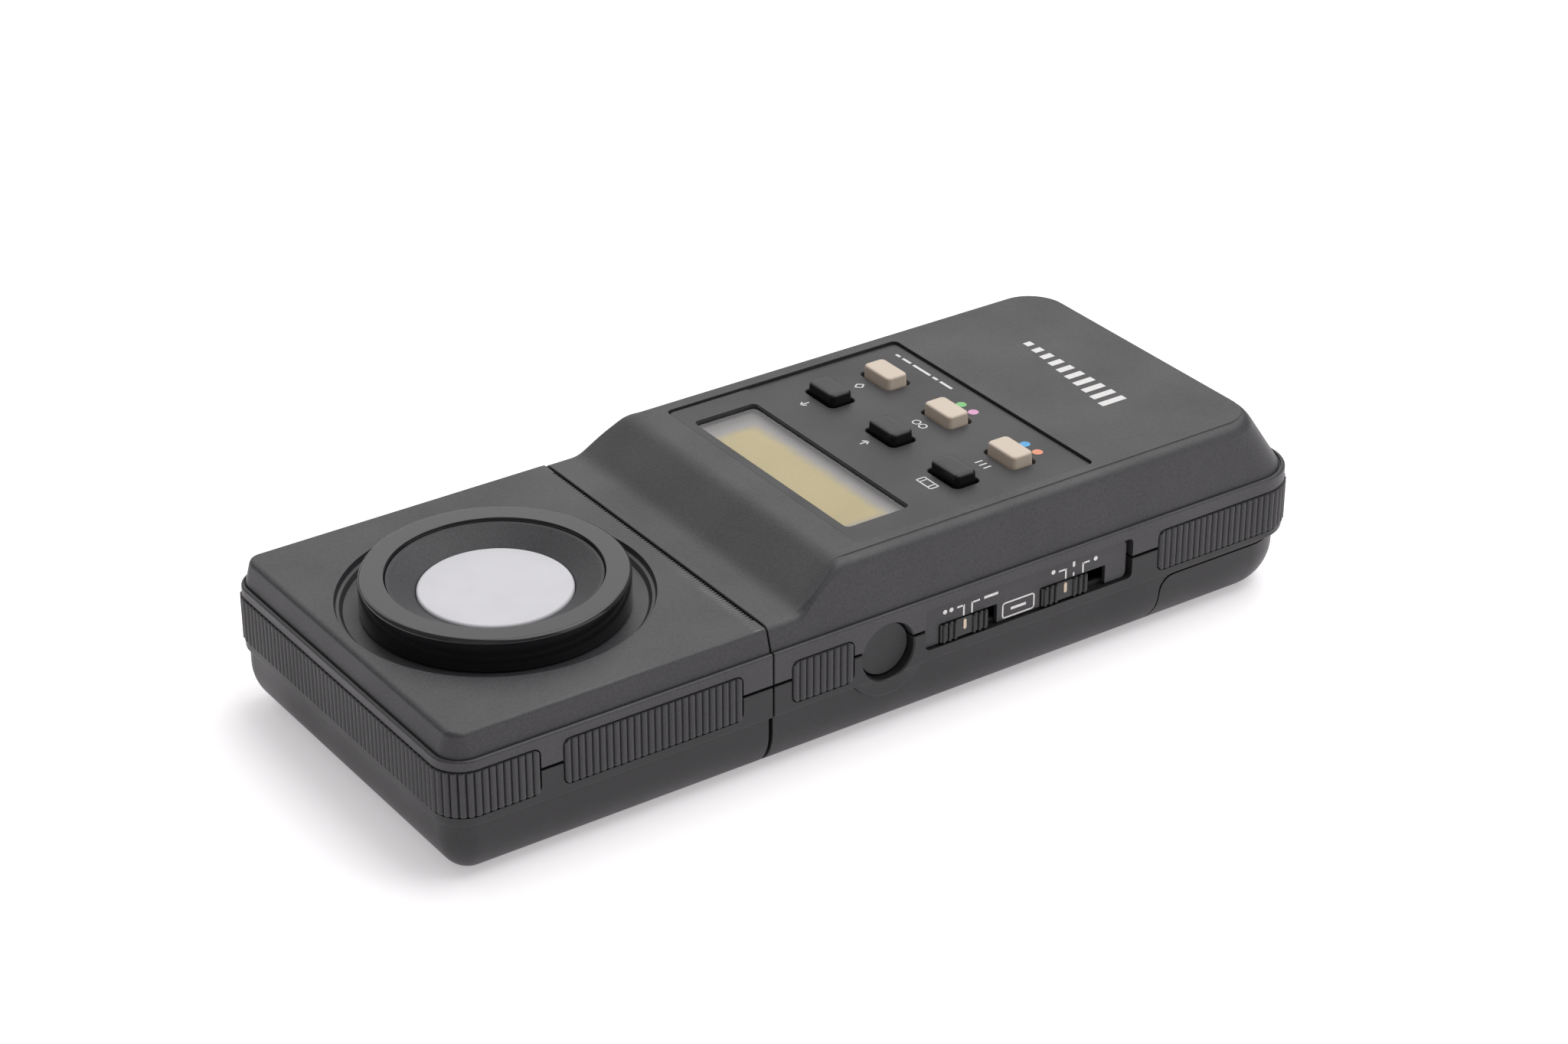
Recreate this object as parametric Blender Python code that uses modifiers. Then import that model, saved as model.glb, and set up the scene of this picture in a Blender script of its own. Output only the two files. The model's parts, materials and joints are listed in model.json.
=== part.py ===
"""Handheld colour light meter, lying on its back.

Frame: +Z is up out of the display, +Y runs from the battery end to the swivelling receptor head,
+X is the width. The origin is on the resting face, 85 mm from the receptor end.
Sizes below are in millimetres; every mesh is written in metres.
"""
import math
from collections import namedtuple

import bmesh
import bpy
from mathutils import Matrix, Vector

MM = 0.001

# ---- driving dimensions (mm) ----
WIDTH = 72.0
HEIGHT = 33.0                 # resting face to the top of the body
HEAD_LENGTH = 60.0
BODY_LENGTH = 112.7
HEAD_HEIGHT = 26.95
HALF_W = WIDTH / 2
HEAD_END = 85.0
SEAM_Y = HEAD_END - HEAD_LENGTH
BASE_END = SEAM_Y - BODY_LENGTH
GAP = 0.3                     # air between pieces that touch

BELT_LOW = 10.9               # belt: the proud band round the middle
BELT_TOP = 22.9
PARTING_Z = 16.9              # where front and rear shells meet
BELT_PROUD = 0.8              # over the walls above it
LEDGE = 0.6                   # and over the rear shell below it
LEDGE_FALL = 0.05             # the belt's ledges slope by this much
WALL = 2.4
BOTTOM_INSET = 6.6            # how far the rear shell's round draws in
BOTTOM_RISE = 8.0             # and how high it reaches
BOTTOM_WALL = 1.8             # thickness round that curve
TOP_FLAT_INSET = 5.7
HEAD_TOP_INSET = 3.5
CORNER_STEPS = 5

# An end of the meter: its place, its corners' radius at the belt and how much smaller it gets for each
# mm of inset, the same radius on the rear shell, and how much more its end wall draws in above the belt,
# at the foot and for each mm of height.
End = namedtuple("End", "y corner corner_fall low_corner wall_step wall_draft")
HEAD = End(HEAD_END, 5.5, 0.75, 5.5, 0.0, 0.0)
BASE = End(BASE_END, 8.5, -0.18, 10.8, 0.4, 0.23)
LOW_CORNER_FALL = 0.75
SMALLEST_CORNER = 1.5

SWIVEL_Z = HEAD_HEIGHT / 2    # the head turns about its own middle
SPINDLE_R = 8.0
SPINDLE_BORE = 6.0
FLANGE_R = 10.2

SADDLE_Y = 19.8               # low saddle beside the seam ends here
RAMP_TOP_Y = 8.0

RING_Y = 55.0
RING_R = 22.2
RING_TOP = 31.1
RING_BORE = 17.75
RING_SKIRT_R = 20.2
MOAT_R = 25.9
MOAT_FLOOR = 25.7
DISC_R = 12.85
DISC_TOP = 28.3
FLANGE_BORE = 11.5            # ledge inside the ring that carries the dish and the disc

PANEL_HALF_X = 28.3
PANEL_Y = (-45.6, 3.2)
PANEL_TOP = 32.7
PANEL_THICK = 1.2
LCD_HALF_X = 22.6
LCD_Y = (-11.1, 1.2)
KEY_COLUMNS = (18.0, 0.0, -18.0)
DARK_KEY_Y = -24.0
PALE_KEY_Y = -36.0
KEY_HALF = (3.9, 2.3)
KEY_TOP = 34.5

BUTTON_Y = 2.2
BUTTON_Z = 15.6
BUTTON_HOLE_R = 5.2
BUTTON_BOSS_R = 8.0
BUTTON_SUNK = 1.5

PLATE_Y = (-49.1, -5.3)
PLATE_Z = (13.1, 20.8)
PLATE_SUNK = 0.6
SLOT_TOP = 17.0
SLIDER_LENGTH = 9.9
FILM_SLOT = (-20.5, -8.4)
MODE_SLOT = (-43.6, -29.6)
SLIDER_PROUD = 0.2

BATTERY = (48.5, 26.5, 17.5)
BATTERY_STUD = 3.0
BATTERY_LOW = 3.6
BATTERY_Y = -69.3

SENSOR_BOARD_Z = 16.3
BOARD_THICK = 1.6
BOARD_TOP = 27.3

DOOR_FRONT = -56.3
DOOR_FLARE = 1.0              # how far its front edge leans forward at the bottom
DOOR_TOP = 10.2
DOOR_CORNER_R = 3.0
DOOR_WALL = 1.6
PARTITION_Y = (-53.8, -52.0)

GRIP_PROUD = 0.2
GRIP_SUNK = 0.9
HEAD_GRIP_Z = (12.8, 20.9)
BODY_GRIP_Z = (12.5, 20.1)

HEAD_POSTS = ((26.0, 31.5), (25.0, 75.5))
BODY_POSTS = ((26.0, 17.0), (26.0, -50.0))
POST_R = 3.2
POST_FRONT_Z = PARTING_Z + GAP / 2 + 0.1
POST_REAR_Z = PARTING_Z - GAP / 2 - 0.1
SCREW_HOLE_R = 1.6
SCREW_HEAD_R = 2.7
SCREW_SEAT_Z = 6.0
SCREW_TIP_Z = 21.5

COLOURS = {
    "black_shell": ((0.042, 0.041, 0.043), 0.55, 0.0),
    "gloss_black": ((0.012, 0.012, 0.013), 0.14, 0.0),
    "matte_black": ((0.045, 0.045, 0.047), 0.75, 0.0),
    "grip_black": ((0.035, 0.035, 0.037), 0.6, 0.0),
    "panel_black": ((0.05, 0.05, 0.053), 0.5, 0.0),
    "opal": ((0.83, 0.82, 0.84), 0.35, 0.0),
    "key_beige": ((0.72, 0.65, 0.57), 0.45, 0.0),
    "key_black": ((0.014, 0.014, 0.015), 0.22, 0.0),
    "window": ((0.55, 0.55, 0.5), 0.05, 0.0),
    "lcd": ((0.55, 0.48, 0.25), 0.3, 0.0),
    "board": ((0.03, 0.16, 0.07), 0.45, 0.0),
    "rubber": ((0.3, 0.3, 0.31), 0.7, 0.0),
    "steel": ((0.6, 0.6, 0.61), 0.3, 1.0),
    "red": ((0.6, 0.04, 0.03), 0.3, 0.0),
    "green": ((0.04, 0.4, 0.08), 0.3, 0.0),
    "blue": ((0.04, 0.1, 0.5), 0.3, 0.0),
    "battery": ((0.08, 0.09, 0.12), 0.35, 0.4),
}


# ---- scene helpers ----
def clear_scene():
    for obj in list(bpy.data.objects):
        bpy.data.objects.remove(obj, do_unlink=True)


def collection(name):
    made = bpy.data.collections.new(name)
    bpy.context.scene.collection.children.link(made)
    return made


clear_scene()
PARTS = collection("light_meter")
CUTTERS = collection("cutters")


def material(name):
    found = bpy.data.materials.get(name)
    if found:
        return found
    colour, roughness, metallic = COLOURS[name]
    made = bpy.data.materials.new(name)
    made.use_nodes = True
    shader = made.node_tree.nodes["Principled BSDF"]
    shader.inputs["Base Color"].default_value = (*colour, 1.0)
    shader.inputs["Roughness"].default_value = roughness
    shader.inputs["Metallic"].default_value = metallic
    return made


def finish_mesh(name, bm, finish):
    """Turn a bmesh in millimetres into an object; with no finish it is a cutter."""
    bmesh.ops.scale(bm, vec=(MM, MM, MM), verts=bm.verts)
    bmesh.ops.recalc_face_normals(bm, faces=bm.faces)
    mesh = bpy.data.meshes.new(name)
    bm.to_mesh(mesh)
    bm.free()
    obj = bpy.data.objects.new(name, mesh)
    if finish:
        PARTS.objects.link(obj)
        mesh.materials.append(material(finish))
        mesh.shade_smooth()
        mesh.set_sharp_from_angle(angle=math.radians(28))
    else:
        CUTTERS.objects.link(obj)
        obj.hide_render = True
        obj.display_type = "WIRE"
    return obj


def box(name, low, high, finish=None):
    bm = bmesh.new()
    size = [b - a for a, b in zip(low, high)]
    middle = [(a + b) / 2 for a, b in zip(low, high)]
    bmesh.ops.create_cube(bm, size=1.0, matrix=Matrix.Translation(middle) @ Matrix.Diagonal((*size, 1.0)))
    return finish_mesh(name, bm, finish)


def rod(name, radius, start, end, finish=None, segments=24):
    """A round bar from start to end."""
    start, end = Vector(start), Vector(end)
    along = end - start
    turn = Vector((0, 0, 1)).rotation_difference(along).to_matrix().to_4x4()
    bm = bmesh.new()
    bmesh.ops.create_cone(bm, cap_ends=True, segments=segments, radius1=radius, radius2=radius,
                          depth=along.length, matrix=Matrix.Translation((start + end) / 2) @ turn)
    return finish_mesh(name, bm, finish)


def prism(name, outline, place, finish=None):
    """A flat outline pushed along its normal; place(u, v, side) gives the two faces' points."""
    bm = bmesh.new()
    near = [bm.verts.new(place(u, v, 0)) for u, v in outline]
    face = bm.faces.new(near)
    pushed = bmesh.ops.extrude_face_region(bm, geom=[face])
    far = [item for item in pushed["geom"] if isinstance(item, bmesh.types.BMVert)]
    shift = Vector(place(*outline[0], 1)) - Vector(place(*outline[0], 0))
    bmesh.ops.translate(bm, vec=shift, verts=far)
    return finish_mesh(name, bm, finish)


def loft(name, rings, finish=None):
    """A closed skin through rings that have the same number of points."""
    bm = bmesh.new()
    loops = [[bm.verts.new(point) for point in ring] for ring in rings]
    count = len(loops[0])
    for lower, upper in zip(loops, loops[1:]):
        for i in range(count):
            j = (i + 1) % count
            bm.faces.new((lower[i], lower[j], upper[j], upper[i]))
    bm.faces.new(list(reversed(loops[0])))
    bm.faces.new(loops[-1])
    return finish_mesh(name, bm, finish)


def turned(name, profile, centre, axis, finish=None, segments=48, closed=True):
    """A profile of (radius, height) turned about an axis through centre; runs down its outer side."""
    mesh = bpy.data.meshes.new(name)
    points = [(radius * MM, 0.0, height * MM) for radius, height in profile]
    edges = [(i, i + 1) for i in range(len(points) - 1)]
    if closed:
        edges.append((len(points) - 1, 0))
    mesh.from_pydata(points, edges, [])
    obj = bpy.data.objects.new(name, mesh)
    obj.location = Vector(centre) * MM
    obj.rotation_euler = Vector((0, 0, 1)).rotation_difference(Vector(axis)).to_euler()
    screw = obj.modifiers.new("turn", "SCREW")
    screw.steps = segments
    screw.render_steps = segments
    screw.use_merge_vertices = True
    screw.merge_threshold = 0.00001
    if finish:
        PARTS.objects.link(obj)
        mesh.materials.append(material(finish))
    else:
        CUTTERS.objects.link(obj)
        obj.hide_render = True
        obj.display_type = "WIRE"
    return obj


def combine(target, other, operation):
    modifier = target.modifiers.new(operation.lower(), "BOOLEAN")
    modifier.operation = operation
    modifier.object = other
    modifier.solver = "EXACT"


def cut(target, *cutters):
    for cutter in cutters:
        combine(target, cutter, "DIFFERENCE")


def add(target, *others):
    for other in others:
        combine(target, other, "UNION")


def put_origin(obj, point):
    """Move an object's origin to a point (mm) without moving its mesh."""
    shift = Vector(point) * MM - obj.location
    turn = obj.rotation_euler.to_matrix().to_4x4()
    obj.data.transform(Matrix.Translation(-(turn.inverted() @ shift)))
    obj.location += shift


# ---- plan outlines ----
def arc(centre, radius, start_deg, end_deg, steps):
    angles = [math.radians(start_deg + (end_deg - start_deg) * i / steps) for i in range(steps + 1)]
    return [(centre[0] + radius * math.cos(a), centre[1] + radius * math.sin(a)) for a in angles]


def plan(z, inset, seam, end):
    """Outline at a height: square at the seam, rounded at the meter's end."""
    if z > BELT_LOW:
        radius = end.corner - end.corner_fall * inset
    else:
        radius = end.low_corner - LOW_CORNER_FALL * inset
    radius = max(radius, SMALLEST_CORNER)
    end_inset = inset
    if z > BELT_TOP:
        end_inset += end.wall_step + end.wall_draft * (z - BELT_TOP)
    side = 1 if end.y > seam else -1
    half = HALF_W - inset
    middle_x, middle_y = half - radius, end.y - side * (end_inset + radius)
    right = arc((middle_x, middle_y), radius, 0, 90 * side, CORNER_STEPS)
    left = arc((-middle_x, middle_y), radius, 90 * side, 180 * side, CORNER_STEPS)
    return [(half, seam)] + right + left + [(-half, seam)]


def at(outline, z):
    return [(x, y, z) for x, y in outline]


def lower_round(wall=0.0, low=0.0, steps=4):
    """(z, inset) up the rear shell's quarter ellipse; with a wall, up its inside from a height."""
    start = math.acos((BOTTOM_RISE - low) / (BOTTOM_RISE - wall))
    rows = []
    for i in range(steps + 1):
        t = start + (math.pi / 2 - start) * i / steps
        rows.append((BOTTOM_RISE - (BOTTOM_RISE - wall) * math.cos(t),
                     LEDGE + BOTTOM_INSET - (BOTTOM_INSET - wall) * math.sin(t)))
    return rows


def upper_profile(top, flat_inset):
    """(z, inset) from the belt's ledge up the drafted side and over the rounded edge."""
    draft = math.tan(math.radians(16.5))
    round_r = flat_inset - (BELT_PROUD + draft * (top - BELT_TOP)) + 0.45
    foot = top - round_r * 0.93
    rows = [(BELT_TOP + LEDGE_FALL, BELT_PROUD), (foot, BELT_PROUD + draft * (foot - BELT_TOP))]
    low_inset = rows[-1][1]
    for share in (0.42, 0.75, 1.0):
        t = math.radians(90 * share)
        z = foot + (top - foot) * math.sin(t)
        rows.append((z, low_inset + (flat_inset - low_inset) * (1 - math.cos(t))))
    return rows


def shell_skin(name, rows, seam, end, finish=None):
    return loft(name, [at(plan(z, inset, seam, end), z) for z, inset in rows], finish)


def front_rows(top, flat_inset):
    belt = [(PARTING_Z + GAP / 2, 0.0), (BELT_TOP - 0.3, 0.0), (BELT_TOP, 0.3)]
    return belt + upper_profile(top, flat_inset)


def rear_rows():
    belt = [(BELT_LOW + LEDGE_FALL, 0.3), (BELT_LOW + 0.4, 0.0), (PARTING_Z - GAP / 2, 0.0)]
    return lower_round() + [(BELT_LOW, LEDGE)] + belt


def posts(target, spots, low, high, label):
    for x, y in spots:
        for side in (-1, 1):
            name = f"post_{label}_{side}_{y:.0f}"
            add(target, rod(name, POST_R, (side * x, y, low), (side * x, y, high), segments=12))


def rib(name, x, y_range, z_range):
    """A thin upright rib that a board's edge rests on."""
    return box(name, (x - 0.5, y_range[0], z_range[0]), (x + 0.5, y_range[1], z_range[1]))


def screw_holes(target, spots, low, high, radius, label):
    for x, y in spots:
        for side in (-1, 1):
            name = f"hole_{label}_{side}_{y:.0f}"
            cut(target, rod(name, radius, (side * x, y, low), (side * x, y, high), segments=12))


# ---- cutters that several shells share ----
def swivel_bore(name, seam_wall):
    return rod(name, SPINDLE_R + GAP, (0, seam_wall[0], SWIVEL_Z), (0, seam_wall[1], SWIVEL_Z), segments=32)


def grip_recess(name, y_range, z_range, side):
    x_in = side * (HALF_W - GRIP_SUNK - GAP)
    x_out = side * (HALF_W + 1)
    low = (min(x_in, x_out), y_range[0] - GAP, z_range[0] - GAP)
    high = (max(x_in, x_out), y_range[1] + GAP, z_range[1] + GAP)
    return box(name, low, high)


def wrap_band(name, depth_out, depth_in, start, end, z_range, spread, finish=None):
    """A band round an end of the meter, from side to side."""
    side = 1 if end.y > start else -1
    outer = plan(PARTING_Z, -depth_out, start - side * spread, end)
    inner = plan(PARTING_Z, depth_in, start - side * spread, end)
    outline = outer + list(reversed(inner))
    z0, z1 = z_range[0] - spread, z_range[1] + spread
    return prism(name, outline, lambda u, v, top: (u, v, z1 if top else z0), finish)


HEAD_WRAP_Y = 68.8
BASE_WRAP_Y = -54.9
HEAD_SIDE_GRIP_Y = (31.1, 64.4)
BODY_SIDE_GRIP_Y = (9.3, 21.3)


# ---- head ----
def build_head_front_shell():
    shell = shell_skin("head_front_shell", front_rows(HEAD_HEIGHT, HEAD_TOP_INSET),
                       SEAM_Y + GAP / 2, HEAD, "black_shell")
    ceiling = MOAT_FLOOR - 1.5
    hollow = [(PARTING_Z - 1, WALL), (BELT_TOP - 1, WALL), (ceiling, WALL + 2.2)]
    cut(shell, shell_skin("head_front_hollow", hollow, SEAM_Y + WALL, HEAD))
    seat_r = RING_SKIRT_R + GAP
    moat = [(0, HEAD_HEIGHT + 1.3), (MOAT_R + 1.0, HEAD_HEIGHT + 1.3), (MOAT_R, HEAD_HEIGHT),
            (MOAT_R - 0.9, MOAT_FLOOR), (seat_r, MOAT_FLOOR), (seat_r, 20), (0, 20)]
    cut(shell, turned("moat_cutter", moat, (0, RING_Y, 0), (0, 0, 1), closed=False))
    posts(shell, HEAD_POSTS, POST_FRONT_Z, ceiling + 0.5, "head_front")
    screw_holes(shell, HEAD_POSTS, PARTING_Z - 1, SCREW_TIP_Z + 0.5, SCREW_HOLE_R, "head_front")
    cut_head_grips(shell, "front")
    cut(shell, swivel_bore("head_bore_front", (SEAM_Y - 2, SEAM_Y + WALL + 2)))
    return shell


def build_head_rear_shell():
    shell = shell_skin("head_rear_shell", rear_rows(), SEAM_Y + GAP / 2, HEAD, "black_shell")
    cut(shell, rear_hollow("head_rear_hollow", SEAM_Y + WALL, HEAD))
    posts(shell, HEAD_POSTS, 1.0, POST_REAR_Z, "head_rear")
    for side in (-1, 1):
        add(shell, rib(f"sensor_rib_{side}", side * 22.0, (38.0, 68.0), (1.0, SENSOR_BOARD_Z - GAP)))
    screw_holes(shell, HEAD_POSTS, -1.0, PARTING_Z + 1, SCREW_HOLE_R, "head_rear")
    screw_holes(shell, HEAD_POSTS, -1.0, SCREW_SEAT_Z, SCREW_HEAD_R + GAP, "head_seat")
    cut_head_grips(shell, "rear")
    cut(shell, swivel_bore("head_bore_rear", (SEAM_Y - 2, SEAM_Y + WALL + 2)))
    return shell


def rear_hollow(name, seam, end):
    rows = lower_round(BOTTOM_WALL, WALL, 3) + [(PARTING_Z + 1, WALL)]
    return shell_skin(name, rows, seam, end)


def cut_head_grips(shell, label):
    for side in (-1, 1):
        cut(shell, grip_recess(f"head_grip_recess_{label}_{side}", HEAD_SIDE_GRIP_Y, HEAD_GRIP_Z, side))
    cut(shell, wrap_band(f"head_wrap_recess_{label}", 1.0, GRIP_SUNK + GAP, HEAD_WRAP_Y, HEAD,
                         HEAD_GRIP_Z, GAP))


def build_receptor():
    ring_profile = [(RING_R - 0.5, RING_TOP), (RING_R, RING_TOP - 0.5), (RING_R, MOAT_FLOOR + GAP),
                    (RING_SKIRT_R, MOAT_FLOOR + GAP), (RING_SKIRT_R, 23.2), (FLANGE_BORE, 23.2),
                    (FLANGE_BORE, 25.2), (RING_BORE, 25.2), (RING_BORE, RING_TOP)]
    ring = turned("receptor_ring", ring_profile, (0, RING_Y, 0), (0, 0, 1), "gloss_black", 48)
    dish_r = RING_BORE - GAP
    throat_r = DISC_R + GAP
    dish_profile = [(dish_r, RING_TOP - 0.8), (dish_r, 25.5), (throat_r, 25.5), (throat_r, DISC_TOP - 0.3)]
    dish = turned("receptor_dish", dish_profile, (0, RING_Y, 0), (0, 0, 1), "matte_black", 48)
    disc_profile = [(0, DISC_TOP), (DISC_R - 0.5, DISC_TOP), (DISC_R - 0.1, DISC_TOP - 0.2),
                    (DISC_R, DISC_TOP - 0.5), (DISC_R, 25.5), (0, 25.5)]
    disc = turned("diffuser_disc", disc_profile, (0, RING_Y, 0), (0, 0, 1), "opal", 48, closed=False)
    return [ring, dish, disc]


def build_photocells():
    """Three photocells behind red, green and blue filters, in one holder on the sensor board."""
    board_top = SENSOR_BOARD_Z + BOARD_THICK
    pieces = [box("sensor_board", (-24, 36, SENSOR_BOARD_Z), (24, 70, board_top), "board")]
    holder = rod("photocell_holder", 9.5, (0, RING_Y, board_top + GAP), (0, RING_Y, 22.6), "matte_black", 32)
    pieces.append(holder)
    for index, colour in enumerate(("red", "green", "blue")):
        angle = math.radians(90 + 120 * index)
        x, y = 4.6 * math.cos(angle), RING_Y + 4.6 * math.sin(angle)
        cut(holder, rod(f"cell_well_{colour}", 2.9, (x, y, 17), (x, y, 24), segments=16))
        pieces.append(rod(f"photocell_{colour}", 2.6, (x, y, board_top + GAP), (x, y, 19.8), "steel", 16))
        pieces.append(rod(f"filter_{colour}", 2.6, (x, y, 20.4), (x, y, 21.6), colour, 16))
    return pieces


def build_spindle():
    """The hollow spindle is fixed in the head and turns in the body's end wall.

    Its friction washer stays in the body.
    """
    centre = (0, 0, SWIVEL_Z)
    inside_head = SEAM_Y + WALL + GAP
    profile = [(SPINDLE_R, 19.0), (SPINDLE_R, inside_head), (FLANGE_R, inside_head),
               (FLANGE_R, inside_head + 1.8), (SPINDLE_BORE, inside_head + 1.8), (SPINDLE_BORE, 19.0)]
    spindle = turned("swivel_spindle", list(reversed(profile)), centre, (0, 1, 0), "matte_black", 24)
    wall_inside = SEAM_Y - WALL
    washer = [(FLANGE_R, wall_inside - GAP), (FLANGE_R, wall_inside - GAP - 0.5),
              (SPINDLE_R + GAP, wall_inside - GAP - 0.5), (SPINDLE_R + GAP, wall_inside - GAP)]
    turned("friction_washer", washer, centre, (0, 1, 0), "steel", 24)
    retainer_top = wall_inside - 2 * GAP - 0.5
    clip = [(FLANGE_R, retainer_top), (FLANGE_R, retainer_top - 1.3), (SPINDLE_R + GAP, retainer_top - 1.3),
            (SPINDLE_R + GAP, retainer_top)]
    retainer = turned("spindle_retainer", clip, centre, (0, 1, 0), "steel", 24)
    cable = rod("sensor_cable", 1.6, (0, 15.0, SWIVEL_Z), (0, 33.0, SWIVEL_Z), "rubber", 12)
    return [spindle, retainer, cable]


def side_grip(name, y_range, z_range, side):
    x_in = side * (HALF_W - GRIP_SUNK)
    x_out = side * (HALF_W + GRIP_PROUD)
    low = (min(x_in, x_out), y_range[0], z_range[0])
    high = (max(x_in, x_out), y_range[1], z_range[1])
    grip = box(name, low, high, "grip_black")
    bevel = grip.modifiers.new("soft_edges", "BEVEL")
    bevel.width = 0.15 * MM
    bevel.segments = 1
    return grip


def build_head_grips():
    pieces = [side_grip(f"head_side_grip_{label}", HEAD_SIDE_GRIP_Y, HEAD_GRIP_Z, side)
              for side, label in ((-1, "left"), (1, "right"))]
    pieces.append(wrap_band("head_end_grip", GRIP_PROUD, GRIP_SUNK, HEAD_WRAP_Y, HEAD, HEAD_GRIP_Z,
                            0.0, "grip_black"))
    return pieces


def build_screws(spots, label):
    """Long self-tapping screws, put in from the back."""
    pieces = []
    for x, y in spots:
        for side in (1, -1):
            name = f"{label}_screw_{len(pieces) + 1}"
            head = SCREW_SEAT_Z - GAP
            profile = [(0, SCREW_TIP_Z), (SCREW_HOLE_R - GAP, SCREW_TIP_Z - 1.2), (SCREW_HOLE_R - GAP, head),
                       (SCREW_HEAD_R, head), (SCREW_HEAD_R, head - 1.4), (0, head - 1.9)]
            screw = turned(name, profile, (side * x, y, 0), (0, 0, 1), "steel", 12, closed=False)
            for turn, size in enumerate(((1.6, 0.25), (0.25, 1.6))):
                blade = box(f"{name}_drive_{turn}", (side * x - size[0], y - size[1], head - 3),
                            (side * x + size[0], y + size[1], head - 1.0))
                cut(screw, blade)
            pieces.append(screw)
    return pieces


# ---- body ----
def saddle_outline():
    """Side view of what is taken off above the low saddle and its ramp."""
    slope = math.radians(38)
    low_r, high_r = 4.5, 5.0
    low_centre = (SADDLE_Y, HEAD_HEIGHT + low_r)
    points = [(SEAM_Y + 2, HEAD_HEIGHT)]
    points += arc(low_centre, low_r, 270, 270 - math.degrees(slope), 4)
    high_centre = (RAMP_TOP_Y, HEIGHT - high_r)
    points += arc(high_centre, high_r, 90 - math.degrees(slope), 90, 4)
    return points + [(RAMP_TOP_Y, HEIGHT + 4), (SEAM_Y + 2, HEIGHT + 4)]


def build_body_front_shell():
    shell = shell_skin("body_front_shell", front_rows(HEIGHT, TOP_FLAT_INSET),
                       SEAM_Y - GAP / 2, BASE, "black_shell")
    cut(shell, prism("saddle_cutter", saddle_outline(), lambda u, v, far: (50 if far else -50, u, v)))
    low_hollow = [(PARTING_Z - 1, WALL), (BELT_TOP - 1, WALL), (24.4, WALL + 1.0)]
    cut(shell, shell_skin("body_low_hollow", low_hollow, SEAM_Y - WALL, BASE))
    high_hollow = [(24.0, WALL + 1.1), (30.2, WALL + 3.2)]
    cut(shell, shell_skin("body_high_hollow", high_hollow, 5.5, BASE))
    panel_gap = PANEL_HALF_X + GAP
    cut(shell, box("panel_recess", (-panel_gap, PANEL_Y[0] - GAP, PANEL_TOP - PANEL_THICK - GAP),
                   (panel_gap, PANEL_Y[1] + GAP, HEIGHT + 2)))
    cut(shell, box("lcd_opening", (-24.3, -12.6, 28), (24.3, 2.4, 34)))
    cut(shell, box("key_opening", (-25, -41, 28), (25, -19, 34)))
    posts(shell, BODY_POSTS[:1], POST_FRONT_Z, 25.0, "body_front")
    posts(shell, BODY_POSTS[1:], POST_FRONT_Z, 30.6, "body_front")
    for side in (-1, 1):
        add(shell, rib(f"board_rib_{side}", side * 25.9, (-44.0, 2.0), (BOARD_TOP + GAP, 30.6)))
    screw_holes(shell, BODY_POSTS, PARTING_Z - 1, SCREW_TIP_Z + 0.5, SCREW_HOLE_R, "body_front")
    cut_body_sides(shell, "front")
    return shell


def door_outline(clearance):
    """Side view of the battery door: up the rear shell, round a corner, then along under the belt."""
    front, top, corner = DOOR_FRONT + clearance, DOOR_TOP + clearance, DOOR_CORNER_R
    bend = arc((front - corner, top - corner), corner, 0, 90, 4)
    return [(front + DOOR_FLARE, -2.0)] + bend + [(BASE_END - 2, top), (BASE_END - 2, -2.0)]


def across(outline, name):
    return prism(name, outline, lambda u, v, far: (50 if far else -50, u, v))


def build_body_rear_shell():
    shell = shell_skin("body_rear_shell", rear_rows(), SEAM_Y - GAP / 2, BASE, "black_shell")
    boss_x = -HALF_W + 0.05
    boss = rod("button_boss", BUTTON_BOSS_R, (boss_x, BUTTON_Y, BUTTON_Z),
               (boss_x + 4, BUTTON_Y, BUTTON_Z), segments=32)
    cut(boss, box("boss_top", (-50, -20, PARTING_Z - GAP / 2 - 0.05), (0, 20, 40)))
    add(shell, boss)
    cut(shell, rear_hollow("body_rear_hollow", SEAM_Y - WALL, BASE))
    right = [(30.5, 1.0), (33.0, 4.0), (33.8, BOTTOM_RISE), (33.8, POST_REAR_Z)]
    outline = right + [(-x, z) for x, z in reversed(right)]
    add(shell, prism("battery_partition", outline, lambda u, v, far: (u, PARTITION_Y[far], v)))
    cut(shell, across(door_outline(GAP), "door_gap"))
    posts(shell, BODY_POSTS, 1.0, POST_REAR_Z, "body_rear")
    screw_holes(shell, BODY_POSTS, -1.0, PARTING_Z + 1, SCREW_HOLE_R, "body_rear")
    screw_holes(shell, BODY_POSTS, -1.0, SCREW_SEAT_Z, SCREW_HEAD_R + GAP, "body_seat")
    cut_body_sides(shell, "rear")
    return shell


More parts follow.
